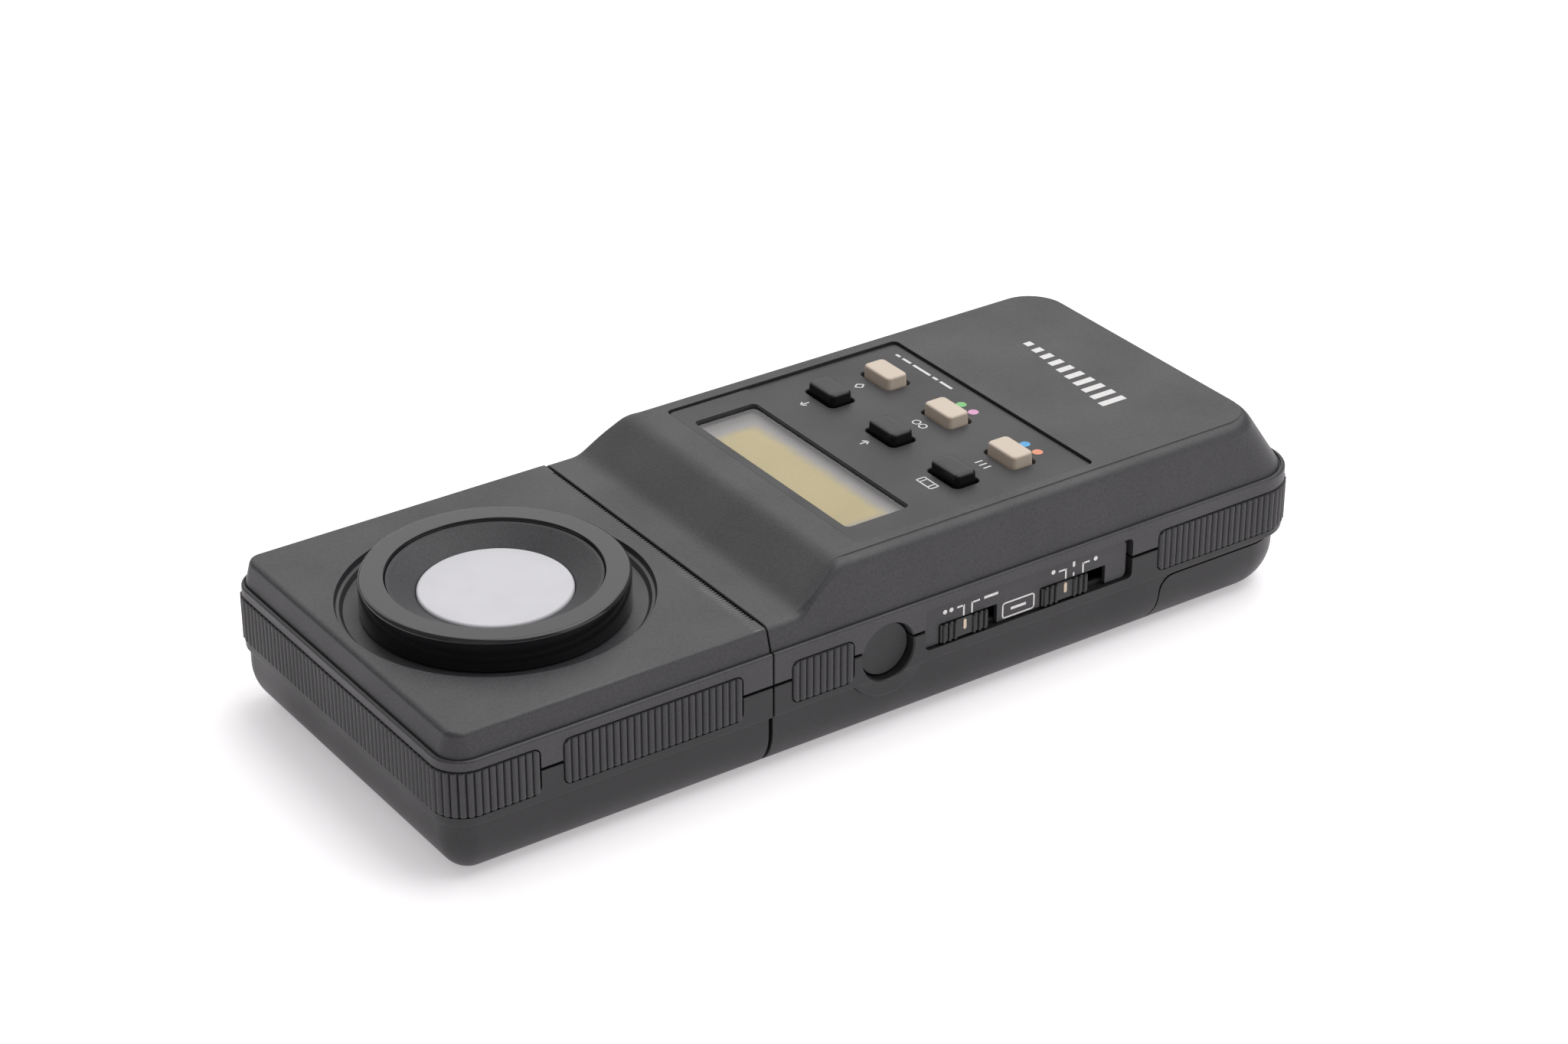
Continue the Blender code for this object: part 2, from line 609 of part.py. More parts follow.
def cut_body_sides(shell, label):
    for side in (-1, 1):
        cut(shell, grip_recess(f"body_grip_recess_{label}_{side}", BODY_SIDE_GRIP_Y, BODY_GRIP_Z, side))
    cut(shell, wrap_band(f"base_wrap_recess_{label}", 1.0, GRIP_SUNK + GAP, BASE_WRAP_Y, BASE,
                         BODY_GRIP_Z, GAP))
    cut(shell, rod(f"button_hole_{label}", BUTTON_HOLE_R, (-HALF_W - 2, BUTTON_Y, BUTTON_Z),
                   (-HALF_W + 6, BUTTON_Y, BUTTON_Z), segments=32))
    recess_x = -HALF_W + PLATE_SUNK + 0.8 + GAP
    cut(shell, box(f"plate_recess_{label}", (-HALF_W - 2, PLATE_Y[0], PLATE_Z[0]),
                   (recess_x, PLATE_Y[1], PLATE_Z[1])))
    cut(shell, box(f"switch_window_{label}", (-HALF_W - 2, PLATE_Y[0] + 1.2, PLATE_Z[0] + 0.9),
                   (-HALF_W + 6, PLATE_Y[1] - 1.2, PLATE_Z[1] - 0.9)))
    cut(shell, swivel_bore(f"body_bore_{label}", (SEAM_Y - WALL - 2, SEAM_Y + 2)))


def build_battery_door():
    door = shell_skin("battery_door", lower_round() + [(BELT_LOW, LEDGE)], SEAM_Y, BASE, "black_shell")
    hollow = lower_round(DOOR_WALL, 2.0, 3) + [(BELT_LOW + 2, LEDGE + DOOR_WALL)]
    cut(door, shell_skin("door_hollow", hollow, SEAM_Y + 5, BASE))
    combine(door, across(door_outline(0.0), "door_shape"), "INTERSECT")
    put_origin(door, (0, BASE_END, 0))
    return door


def rounded_box_rings(rows, centre, corner_steps=2):
    """Rings of rounded rectangles: rows of (z, half_x, half_y, radius) about a centre."""
    rings = []
    for z, half_x, half_y, radius in rows:
        ring = []
        for quarter, (sx, sy) in enumerate(((1, 1), (-1, 1), (-1, -1), (1, -1))):
            middle = (centre[0] + sx * (half_x - radius), centre[1] + sy * (half_y - radius))
            ring += arc(middle, radius, 90 * quarter, 90 * (quarter + 1), corner_steps)
        rings.append(at(ring, z))
    return rings


def build_panel():
    low = PANEL_TOP - PANEL_THICK
    middle = (0, sum(PANEL_Y) / 2)
    half_y = (PANEL_Y[1] - PANEL_Y[0]) / 2
    rows = [(low, PANEL_HALF_X, half_y, 1.0), (PANEL_TOP - 0.15, PANEL_HALF_X, half_y, 1.0),
            (PANEL_TOP, PANEL_HALF_X - 0.15, half_y - 0.15, 0.85)]
    bezel = loft("display_bezel", rounded_box_rings(rows, middle), "panel_black")
    lcd_mid = (0, sum(LCD_Y) / 2)
    lcd_half = (LCD_Y[1] - LCD_Y[0]) / 2 + GAP
    hole = [(low - 1, LCD_HALF_X + GAP, lcd_half, 1.2), (PANEL_TOP + 1, LCD_HALF_X + GAP, lcd_half, 1.2)]
    cut(bezel, loft("lcd_hole", rounded_box_rings(hole, lcd_mid)))
    for row, y in enumerate((DARK_KEY_Y, PALE_KEY_Y)):
        for column, x in enumerate(KEY_COLUMNS):
            hole = [(z, KEY_HALF[0] + GAP, KEY_HALF[1] + GAP, 1.1) for z in (low - 1, PANEL_TOP + 1)]
            cut(bezel, loft(f"key_hole_{row}_{column}", rounded_box_rings(hole, (x, y))))
    return bezel


def build_lcd():
    middle = (0, sum(LCD_Y) / 2)
    half_y = (LCD_Y[1] - LCD_Y[0]) / 2
    window_low = PANEL_TOP - 1.5
    rows = [(window_low, LCD_HALF_X, half_y, 0.9), (PANEL_TOP - 0.5, LCD_HALF_X, half_y, 0.9)]
    window = loft("lcd_window", rounded_box_rings(rows, middle), "window")
    holder = box("lcd_holder", (-24.0, -12.3, 27.6), (24.0, 2.1, window_low - GAP), "matte_black")
    hole_x = LCD_HALF_X - 0.4
    cut(holder, box("lcd_holder_hole", (-hole_x, LCD_Y[0] + 0.3, 26), (hole_x, LCD_Y[1] - 0.3, 34)))
    glass_x = LCD_HALF_X - 0.7
    panel = box("lcd_panel", (-glass_x, LCD_Y[0] + 0.6, 27.6), (glass_x, LCD_Y[1] - 0.6, 29.4), "lcd")
    return [window, holder, panel]


def build_key(name, x, y, finish):
    """A captive key: plunger, flange under the bezel, and a rounded cap."""
    flange_top = PANEL_TOP - PANEL_THICK - GAP
    hx, hy = KEY_HALF
    rows = [(flange_top - 1.5, 1.5, 1.5, 0.5), (flange_top - 1.0, 1.5, 1.5, 0.5),
            (flange_top - 1.0, hx + 1.0, hy + 1.0, 0.9), (flange_top, hx + 1.0, hy + 1.0, 0.9),
            (flange_top, hx, hy, 0.9), (KEY_TOP - 0.7, hx - 0.15, hy - 0.15, 0.9),
            (KEY_TOP - 0.2, hx - 0.3, hy - 0.3, 0.8), (KEY_TOP, hx - 0.7, hy - 0.7, 0.6)]
    key = loft(name, rounded_box_rings(rows, (x, y)), finish)
    put_origin(key, (x, y, flange_top))
    return key


def build_keys():
    dark = zip(("key_step_up", "key_step_down", "key_film_index"), KEY_COLUMNS)
    pale = zip(("key_kelvin", "key_cc_index", "key_lb_index"), KEY_COLUMNS)
    pieces = [build_key(name, x, DARK_KEY_Y, "key_black") for name, x in dark]
    return pieces + [build_key(name, x, PALE_KEY_Y, "key_beige") for name, x in pale]


def build_boards():
    board_low = BOARD_TOP - BOARD_THICK
    main = box("main_board", (-26.5, -46.0, board_low), (26.5, 2.8, BOARD_TOP), "board")
    chip = box("processor_chip", (-8, -33, 23.4), (8, -17, 25.4), "gloss_black")
    mat = box("key_mat", (-24.5, -40.6, 27.6), (24.5, -19.4, 28.6), "rubber")
    side = box("side_board", (-27.2, -45.5, 10.0), (-25.6, 5.2, board_low - GAP), "board")
    return [main, chip, mat, side]


def build_button():
    face = -HALF_W + BUTTON_SUNK
    inner_wall = -HALF_W + WALL
    flange = inner_wall + GAP
    cap_r = BUTTON_HOLE_R - GAP
    profile = [(0, -face), (cap_r - 0.3, -face), (cap_r, -face - 0.3), (cap_r, -flange),
               (cap_r + 1.5, -flange), (cap_r + 1.5, -flange - 0.9), (2.0, -flange - 0.9),
               (2.0, -flange - 2.2), (0, -flange - 2.2)]
    button = turned("measuring_button", profile, (0, BUTTON_Y, BUTTON_Z), (-1, 0, 0), "black_shell", 28,
                    closed=False)
    switch_x = flange + 2.2 + 1.0 + GAP
    switch = box("button_switch", (switch_x, BUTTON_Y - 3, BUTTON_Z - 3),
                 (-27.5, BUTTON_Y + 3, BUTTON_Z + 3), "matte_black")
    return button, switch


def build_switch_plate():
    face = -HALF_W + PLATE_SUNK
    plate = box("switch_plate", (face, PLATE_Y[0] + GAP, PLATE_Z[0] + GAP),
                (face + 0.8, PLATE_Y[1] - GAP, PLATE_Z[1] - GAP), "panel_black")
    for label, slot in (("film", FILM_SLOT), ("mode", MODE_SLOT)):
        cut(plate, box(f"{label}_slot", (face - 1, slot[0], PLATE_Z[0] - 1), (face + 2, slot[1], SLOT_TOP)))
    return plate


def build_slider(name, slot):
    """A ribbed thumb slide with its stem; it starts at the head end of its slot."""
    front = -HALF_W - SLIDER_PROUD
    back = -HALF_W + PLATE_SUNK + 0.8
    y1 = slot[1] - 0.1
    y0 = y1 - SLIDER_LENGTH
    middle = (y0 + y1) / 2
    rib, pitch = 0.45, 1.15
    outline = [(back, y1), (front + 0.35, y1)]
    for side in (1, -1):
        ribs = []
        for i in range(3):
            edge = middle + side * (4.6 - i * pitch)
            ribs += [(front + 0.35, edge), (front, edge - side * 0.1), (front, edge - side * rib),
                     (front + 0.35, edge - side * (rib + 0.1))]
        outline += ribs if side == 1 else list(reversed(ribs))
    outline += [(front + 0.35, y0), (back, y0)]
    low, high = PLATE_Z[0] + 0.4, SLOT_TOP - 0.2
    slider = prism(name, outline, lambda u, v, top: (u, v, high if top else low), "panel_black")
    stem = box(f"{name}_stem", (back - 0.4, middle - 2, low + 1.1), (-HALF_W + 4.4, middle + 2, high - 0.3))
    add(slider, stem)
    put_origin(slider, (front, middle, (low + high) / 2))
    switch = box(name.replace("slider", "switch"), (-HALF_W + 4.7, (slot[0] + slot[1]) / 2 - 5.5, 12.8),
                 (-27.5, (slot[0] + slot[1]) / 2 + 5.5, 18.2), "matte_black")
    return slider, switch


def build_battery():
    length, depth, thick = BATTERY
    low = (-length / 2, BATTERY_Y - depth / 2, BATTERY_LOW)
    high = (length / 2 - BATTERY_STUD, BATTERY_Y + depth / 2, BATTERY_LOW + thick)
    battery = box("battery_block", low, high, "battery")
    z = BATTERY_LOW + thick / 2
    for side in (-1, 1):
        y = BATTERY_Y + side * 6.35
        add(battery, rod(f"battery_stud_{side}", 2.8, (high[0] - 1, y, z), (length / 2, y, z), segments=12))
    box("battery_snap", (length / 2 + GAP, BATTERY_Y - 12.0, z - 6),
        (length / 2 + 2.6, BATTERY_Y + 12.0, z + 6), "matte_black")


def build_leaf_spring():
    """A bowed steel strip on the door that holds the battery up."""
    half_length, half_width, thick, foot_z = 20.0, 6.0, 0.3, 2.3
    rise = BATTERY_LOW - GAP - foot_z - thick
    stations = [half_length * i / 5 for i in range(-5, 6)]
    lower = [(x, foot_z + rise * (1 - (x / half_length) ** 2)) for x in stations]
    outline = lower + [(x, z + thick) for x, z in reversed(lower)]
    return prism("battery_leaf_spring", outline,
                 lambda u, v, far: (u, BATTERY_Y + (half_width if far else -half_width), v), "steel")


def build_lead(name, y, inward, colour):
    """A wire from the battery snap, up past the battery, to the main board."""
    steps = ((27.2, 0, 16.0), (28.4, 0.1, 17.5), (28.2, 1.5, 20.0), (26.4, 3.5, 22.2), (23.0, 5.0, 23.0),
             (21.0, 8.0, 23.6), (20.0, 13.0, 24.0), (20.0, 18.0, 24.8))
    route = []
    for i, (x, along, z) in enumerate(steps):
        route.append(Vector((x - inward * max(0, min(i - 2, 1)), y + along, z)))
    curve = bpy.data.curves.new(name, "CURVE")
    curve.dimensions = "3D"
    curve.bevel_depth = 0.6 * MM
    curve.bevel_resolution = 2
    curve.use_fill_caps = True
    spline = curve.splines.new("POLY")
    spline.points.add(len(route) - 1)
    for point, place in zip(spline.points, route):
        point.co = (*(place * MM), 1.0)
    obj = bpy.data.objects.new(name, curve)
    PARTS.objects.link(obj)
    curve.materials.append(material(colour))
    return obj


def build_body_grips():
    pieces = [side_grip(f"body_side_grip_{label}", BODY_SIDE_GRIP_Y, BODY_GRIP_Z, side)
              for side, label in ((-1, "left"), (1, "right"))]
    pieces.append(wrap_band("base_end_grip", GRIP_PROUD, GRIP_SUNK, BASE_WRAP_Y, BASE, BODY_GRIP_Z,
                            0.0, "grip_black"))
    return pieces


# ---- assembly ----
def hang_on(empty_name, point, pieces):
    """Parent pieces to an empty that stands on their joint's axis."""
    empty = bpy.data.objects.new(empty_name, None)
    empty.location = Vector(point) * MM
    PARTS.objects.link(empty)
    for piece in pieces:
        piece.parent = empty
        piece.location -= empty.location


def build_meter():
    head = [build_head_front_shell(), build_head_rear_shell()]
    head += build_receptor() + build_photocells() + build_head_grips() + build_screws(HEAD_POSTS, "head")
    head += build_spindle()
    hang_on("swivel_axis", (0, SEAM_Y, SWIVEL_Z), head)

    build_body_front_shell()
    build_body_rear_shell()
    door = build_battery_door()
    build_panel()
    build_lcd()
    build_keys()
    build_boards()
    build_button()
    build_switch_plate()
    build_slider("film_slider", FILM_SLOT)
    build_slider("mode_slider", MODE_SLOT)
    build_battery()
    spring = build_leaf_spring()
    build_lead("battery_lead_red", BATTERY_Y + 8.0, 0.0, "red")
    build_lead("battery_lead_black", BATTERY_Y + 4.0, 1.8, "rubber")
    build_body_grips()
    build_screws(BODY_POSTS, "body")
    hang_on("door_slide_axis", (0, BASE_END, 0), [door, spring])


build_meter()
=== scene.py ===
"""Looks of the handheld light meter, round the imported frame.

The pieces are worked out in millimetres in the frame's own axes (+Z out of the display, +Y to the head,
switches on -X) and written in metres. Lights and camera are placed in metres.
"""
import json
import math
from collections import namedtuple

import bmesh
import bpy
from mathutils import Matrix, Vector


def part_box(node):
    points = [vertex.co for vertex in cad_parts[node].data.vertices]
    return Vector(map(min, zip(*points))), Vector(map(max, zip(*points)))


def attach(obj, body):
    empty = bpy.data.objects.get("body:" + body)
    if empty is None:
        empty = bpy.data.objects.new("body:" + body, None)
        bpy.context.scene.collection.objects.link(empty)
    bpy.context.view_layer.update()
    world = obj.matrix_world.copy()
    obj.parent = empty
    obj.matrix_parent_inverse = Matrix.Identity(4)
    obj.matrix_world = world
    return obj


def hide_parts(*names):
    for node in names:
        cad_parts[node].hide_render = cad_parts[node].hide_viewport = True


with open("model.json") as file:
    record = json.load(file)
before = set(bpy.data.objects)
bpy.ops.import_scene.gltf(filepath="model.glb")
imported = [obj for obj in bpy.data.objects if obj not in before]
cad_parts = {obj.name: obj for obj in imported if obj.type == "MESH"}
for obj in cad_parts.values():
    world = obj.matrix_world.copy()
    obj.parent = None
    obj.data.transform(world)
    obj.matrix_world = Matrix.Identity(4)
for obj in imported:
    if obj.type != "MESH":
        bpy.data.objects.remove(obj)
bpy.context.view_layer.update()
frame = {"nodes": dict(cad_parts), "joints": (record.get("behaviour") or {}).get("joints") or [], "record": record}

MM = 0.001
OUTSIDE = 50.0                # mm, well past the meter's sides


def mm_box(node):
    """Lowest and highest corners of a CAD node, in mm."""
    low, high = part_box(node)
    return low / MM, high / MM


# ---- driving places, read from the frame (mm) ----
HEAD_FRONT = mm_box("head_front_shell")
HEAD_REAR = mm_box("head_rear_shell")
BODY_FRONT = mm_box("body_front_shell")
RING = mm_box("receptor_ring")
DISH = mm_box("receptor_dish")
DISC = mm_box("diffuser_disc")
PANEL = mm_box("display_bezel")
WINDOW = mm_box("lcd_window")
GLASS = mm_box("lcd_panel")
PLATE = mm_box("switch_plate")
BUTTON = mm_box("measuring_button")
BUTTON_Y = (BUTTON[0].y + BUTTON[1].y) / 2
BUTTON_Z = (BUTTON[0].z + BUTTON[1].z) / 2
BUTTON_FLANGE = 1.5           # how far the button's flange stands out round its cap
BUTTON_R = (BUTTON[1].z - BUTTON[0].z) / 2 - BUTTON_FLANGE
SLIDERS = {"film": mm_box("film_slider"), "mode": mm_box("mode_slider")}

HALF_W = BODY_FRONT[1].x
HEAD_TOP = HEAD_FRONT[1].z
BODY_TOP = BODY_FRONT[1].z
HEAD_SEAM = HEAD_FRONT[0].y
BODY_SEAM = BODY_FRONT[1].y
HEAD_END = HEAD_FRONT[1].y
BODY_END = BODY_FRONT[0].y
FRONT_FOOT = HEAD_FRONT[0].z + 0.1
REAR_TOP = HEAD_REAR[1].z - 0.1
SWIVEL_Z = 1000 * frame["joints"][0]["pos_m"][2]
RING_Y = (RING[0].y + RING[1].y) / 2
RING_R = (RING[1].x - RING[0].x) / 2
RING_TOP = RING[1].z

# ---- the moulding's own dimensions (mm) ----
BELT_LOW = 10.9
BELT_TOP = 22.9
BELT_ROUND = 0.45
LEDGE = 0.6                   # how far the belt stands out of the walls
WALL_FOOT = 0.8               # inset of the upper walls at their foot
WALL_DRAFT = 0.285            # and for each mm of height
BOTTOM_INSET = 6.6            # reach of the lower round, and its height
BOTTOM_RISE = 8.0
BOTTOM_WALL = 1.8
WALL = 2.4
CORNER_STEPS = 14
# An end of the meter: its place, its corner radius at the belt and how much smaller that gets for each mm
# of inset, the radius on the lower shell, its upper wall's draft, and its share of the round that the
# sides have along their top edge.
End = namedtuple("End", "y corner corner_fall low_corner wall_draft edge")
HEAD = End(HEAD_END, 5.5, 1.45, 5.5, WALL_DRAFT, 1.0)
BASE = End(BODY_END, 8.5, 0.4, 10.8, 0.63, 0.12)
LOW_CORNER_FALL = 0.75
SMALLEST_CORNER = 1.5
EDGE_BREAK = 0.12             # small chamfer at the seam
PARTING_BREAK = 0.15          # and along the line between the front and rear shells
TABLE_INSET = 5.6             # the body's flat table stands a little above the round around it
TABLE_STEP = 0.16
HEAD_EDGE_R = 1.1
SADDLE_Y = 19.8
RAMP_TOP_Y = 8.0
SADDLE_R = 4.5
BROW_R = 5.0
GAP = 0.3
GRIP_DEPTH = 0.9
GRIP_PROUD = 0.35
GRIP_ROOM = 0.22              # gap round a grip in its recess
GRIP_CORNER_R = 1.2
RIB_PITCH = 1.3
RIB_RELIEF = 0.48
SEAM_PITCH = 0.72
MOAT_R = 25.9
MOAT_FLOOR = 25.1
BORE_R = 8.3
MARK_THICK = 0.03
MARK_LIFT = 0.012
BRACKET_LINE = 0.32
POSTS = {"head": ((26.0, 31.5), (25.0, 75.5)), "body": ((26.0, 17.0), (26.0, -50.0))}
POST_R = 3.9
HOLE_R = 1.6
SEAT_R = 3.0
SCREW_SEAT_Z = 6.0
PARTITION_Y = (-53.8, -52.0)  # the wall between the battery's bay and the boards
LCD_OPENING = (-24.3, -12.6), (24.3, 2.4)
KEY_OPENING = (-25.0, -41.0), (25.0, -19.0)
OPENING_Z = (28.0, 34.0)
DOOR_FRONT = -56.3
DOOR_FLARE = 2.6
DOOR_TOP = 10.2
DOOR_CORNER_R = 3.0
DOOR_WALL = 1.6
THUMB_Y = -62.0               # first of the thumb grooves across the door's underside
THUMB_PITCH = 1.6


# ---- outlines ----
def arc(centre, radius, start_deg, end_deg, steps):
    angles = [math.radians(start_deg + (end_deg - start_deg) * i / steps) for i in range(steps + 1)]
    return [(centre[0] + radius * math.cos(a), centre[1] + radius * math.sin(a)) for a in angles]


def rounded(corners, steps=6, closed=True):
    """An outline through corners (u, v, radius), each rounded by an arc of its radius."""
    outline = []
    last = len(corners) - 1
    for i, (u, v, radius) in enumerate(corners):
        here = Vector((u, v))
        if radius == 0 or (not closed and i in (0, last)):
            outline.append((u, v))
            continue
        before = (Vector(corners[i - 1][:2]) - here).normalized()
        after = (Vector(corners[(i + 1) % (last + 1)][:2]) - here).normalized()
        half = before.angle(after) / 2
        centre = here + (before + after).normalized() * (radius / math.sin(half))
        first = here + before * (radius / math.tan(half)) - centre
        final = here + after * (radius / math.tan(half)) - centre
        start = math.atan2(first.y, first.x)
        sweep = math.remainder(math.atan2(final.y, final.x) - start, math.tau)
        outline += arc(centre, radius, math.degrees(start), math.degrees(start + sweep), steps)
    return outline


def rounded_box(low, high, radius, steps=6):
    return rounded([(low[0], low[1], radius), (high[0], low[1], radius),
                    (high[0], high[1], radius), (low[0], high[1], radius)], steps)


def plan_box(low, high, grow, radius):
    """Rounded rectangle round a box seen from above, grown by grow."""
    return rounded_box((low.x - grow, low.y - grow), (high.x + grow, high.y + grow), radius, 8)


# ---- meshes ----
def as_object(name, bm):
    bmesh.ops.scale(bm, vec=(MM, MM, MM), verts=bm.verts)
    bmesh.ops.recalc_face_normals(bm, faces=bm.faces)
    mesh = bpy.data.meshes.new(name)
    bm.to_mesh(mesh)
    bm.free()
    obj = bpy.data.objects.new(name, mesh)
    bpy.context.scene.collection.objects.link(obj)
    return obj


def loft(name, rings):
    """A closed solid through rings of points."""
    bm = bmesh.new()
    loops = [[bm.verts.new(point) for point in ring] for ring in rings]
    count = len(loops[0])
    for lower, upper in zip(loops, loops[1:]):
        for i in range(count):
            j = (i + 1) % count
            bm.faces.new((lower[i], lower[j], upper[j], upper[i]))
    bm.faces.new(loops[0])
    bm.faces.new(loops[-1])
    return as_object(name, bm)


def stack(name, levels):
    """A closed solid through level outlines, each given as (z, outline)."""
    return loft(name, [[(x, y, z) for x, y in outline] for z, outline in levels])


def prism(name, outline, place):
    """place(u, v, far) puts the outline's near (0) and far (1) points in space."""
    return loft(name, [[place(u, v, far) for u, v in outline] for far in (0, 1)])


def upright(name, outline, low, high):
    return prism(name, outline, lambda u, v, far: (u, v, high if far else low))


def crossways(name, outline, left=-OUTSIDE, right=OUTSIDE):
    """A side-view outline (y, z) pushed along X."""
    return prism(name, outline, lambda u, v, far: (right if far else left, u, v))


def block(name, low, high):
    return upright(name, [(low[0], low[1]), (high[0], low[1]), (high[0], high[1]), (low[0], high[1])],
                   low[2], high[2])


def turned(name, profile, centre, direction=(0, 0, 1), segments=144):
    """A closed profile of (radius, height) turned about an axis through centre."""
    turn = Vector((0, 0, 1)).rotation_difference(Vector(direction)).to_matrix()
    bm = bmesh.new()
    loops = []
    for radius, height in profile:
        steps = segments if radius > 1e-6 else 1
        loop = []
        for i in range(steps):
            a = math.tau * i / steps
            spoke = turn @ Vector((radius * math.cos(a), radius * math.sin(a), height))
            loop.append(bm.verts.new(Vector(centre) + spoke))
        loops.append(loop)
    for near, far in zip(loops, loops[1:] + loops[:1]):
        for i in range(segments):
            j = (i + 1) % segments
            corners = [near[i % len(near)], near[j % len(near)], far[j % len(far)], far[i % len(far)]]
            corners = list(dict.fromkeys(corners))
            if len(corners) > 2:
                bm.faces.new(corners)
    return as_object(name, bm)


def rod(name, radius, start, end, segments=64):
    start, end = Vector(start), Vector(end)
    length = (end - start).length
    return turned(name, [(0, 0), (radius, 0), (radius, length), (0, length)], start, end - start, segments)


def combine(target, operation, others):
    """Exact booleans, one after another, with the result written into the target's mesh."""
    for other in others:
        modifier = target.modifiers.new(operation.lower(), "BOOLEAN")
        modifier.operation = operation
        modifier.solver = "EXACT"
        modifier.object = other
    graph = bpy.context.evaluated_depsgraph_get()
    mesh = bpy.data.meshes.new_from_object(target.evaluated_get(graph))
    target.modifiers.clear()
    old = target.data
    target.data = mesh
    bpy.data.meshes.remove(old)
    for other in others:
        bpy.data.objects.remove(other, do_unlink=True)
    return target


def cut(target, *others):
    return combine(target, "DIFFERENCE", others)


def add(target, *others):
    return combine(target, "UNION", others)


def keep(target, *others):
    return combine(target, "INTERSECT", others)


def shade(obj, angle=32):
    obj.data.shade_smooth()
    obj.data.set_sharp_from_angle(angle=math.radians(angle))
    weights = obj.modifiers.new("flat_faces_lead", "WEIGHTED_NORMAL")
    weights.keep_sharp = True
    weights.weight = 60


# ---- materials ----
class Graph:
    """One material's nodes, wired by short calls."""

    def __init__(self, name, roughness=0.5, metallic=0.0):
        self.material = bpy.data.materials.new(name)
        self.material.use_nodes = True
        self.nodes = self.material.node_tree.nodes
        self.links = self.material.node_tree.links
        self.shader = self.nodes["Principled BSDF"]
        self.set("Roughness", roughness)
        self.set("Metallic", metallic)
        self.place = self.nodes.new("ShaderNodeTexCoord").outputs["Object"]

    def set(self, socket, value):
        self.shader.inputs[socket].default_value = value

    def scaled(self, x, y, z):
        mapping = self.nodes.new("ShaderNodeMapping")
        mapping.inputs["Scale"].default_value = (x, y, z)
        self.links.new(self.place, mapping.inputs["Vector"])
        return mapping.outputs["Vector"]

    def noise(self, size, detail=3.0, roughness=0.55, place=None):
        """Noise whose features are about size mm across."""
        node = self.nodes.new("ShaderNodeTexNoise")
        node.inputs["Scale"].default_value = 1 / (size * MM)
        node.inputs["Detail"].default_value = detail
        node.inputs["Roughness"].default_value = roughness
        self.links.new(place or self.place, node.inputs["Vector"])
        return node.outputs["Fac"]

    def cells(self, size):
        """Distance to points about size mm apart."""
        node = self.nodes.new("ShaderNodeTexVoronoi")
        node.feature = "F1"
        node.inputs["Scale"].default_value = 1 / (size * MM)
        self.links.new(self.place, node.inputs["Vector"])
        return node.outputs["Distance"]

    def ramp(self, source, *stops):
        """stops are (position, value or colour)."""
        node = self.nodes.new("ShaderNodeValToRGB")
        points = node.color_ramp.elements
        while len(points) < len(stops):
            points.new(0.5)
        for point, (position, value) in zip(points, stops):
            point.position = position
            point.color = (*value, 1.0) if isinstance(value, tuple) else (value, value, value, 1.0)
        self.links.new(source, node.inputs["Fac"])
        return node.outputs["Color"]

    def math(self, operation, first, second=0.5, third=None):
        node = self.nodes.new("ShaderNodeMath")
        node.operation = operation
        for socket, value in zip(node.inputs, (first, second, third)):
            if isinstance(value, bpy.types.NodeSocket):
                self.links.new(value, socket)
            elif value is not None:
                socket.default_value = value
        return node.outputs["Value"]

    def mix(self, share, first, second, blend="MIX"):
        node = self.nodes.new("ShaderNodeMix")
        node.data_type = "RGBA"
        node.blend_type = blend
        for index, value in ((0, share), (6, first), (7, second)):
            if isinstance(value, bpy.types.NodeSocket):
                self.links.new(value, node.inputs[index])
            else:
                node.inputs[index].default_value = (*value, 1.0) if isinstance(value, tuple) else value
        return node.outputs[2]

    def axis(self, index):
        node = self.nodes.new("ShaderNodeSeparateXYZ")
        self.links.new(self.place, node.inputs["Vector"])
        return node.outputs[index]

    def mm(self, index):
        """A coordinate in mm."""
        return self.math("MULTIPLY", self.axis(index), 1 / MM)

    def backfacing(self):
        return self.nodes.new("ShaderNodeNewGeometry").outputs["Backfacing"]

    def clear(self, colour=(1.0, 1.0, 1.0)):
        node = self.nodes.new("ShaderNodeBsdfTransparent")
        node.inputs["Color"].default_value = (*colour, 1.0)
        return node.outputs[0]

    def surface(self, share, first, second):
        """The surface is the first shader where share is 0, and the second where it is 1."""
        node = self.nodes.new("ShaderNodeMixShader")
        for socket, source in zip(node.inputs, (share, first, second)):
            self.links.new(source, socket)
        self.links.new(node.outputs[0], self.nodes["Material Output"].inputs["Surface"])

    def use(self, socket, source):
        self.links.new(source, self.shader.inputs[socket])

    def relief(self, *layers):
        """Bumps in series; each layer is (height source, height in mm)."""
        normal = None
        for source, height in layers:
            node = self.nodes.new("ShaderNodeBump")
            node.inputs["Strength"].default_value = 1.0
            node.inputs["Distance"].default_value = height * MM
            self.links.new(source, node.inputs["Height"])
            if normal:
                self.links.new(normal, node.inputs["Normal"])
            normal = node.outputs["Normal"]
        self.use("Normal", normal)


def tint(colour, share):
    return tuple(min(1.0, channel * share) for channel in colour)


def dusted(g, base, brightness):
    """The base colour under scattered pale specks."""
    speck = g.ramp(g.cells(11.0), (0.0, 1.0), (0.011, 0.0))
    return g.mix(speck, base, (brightness, brightness, brightness))


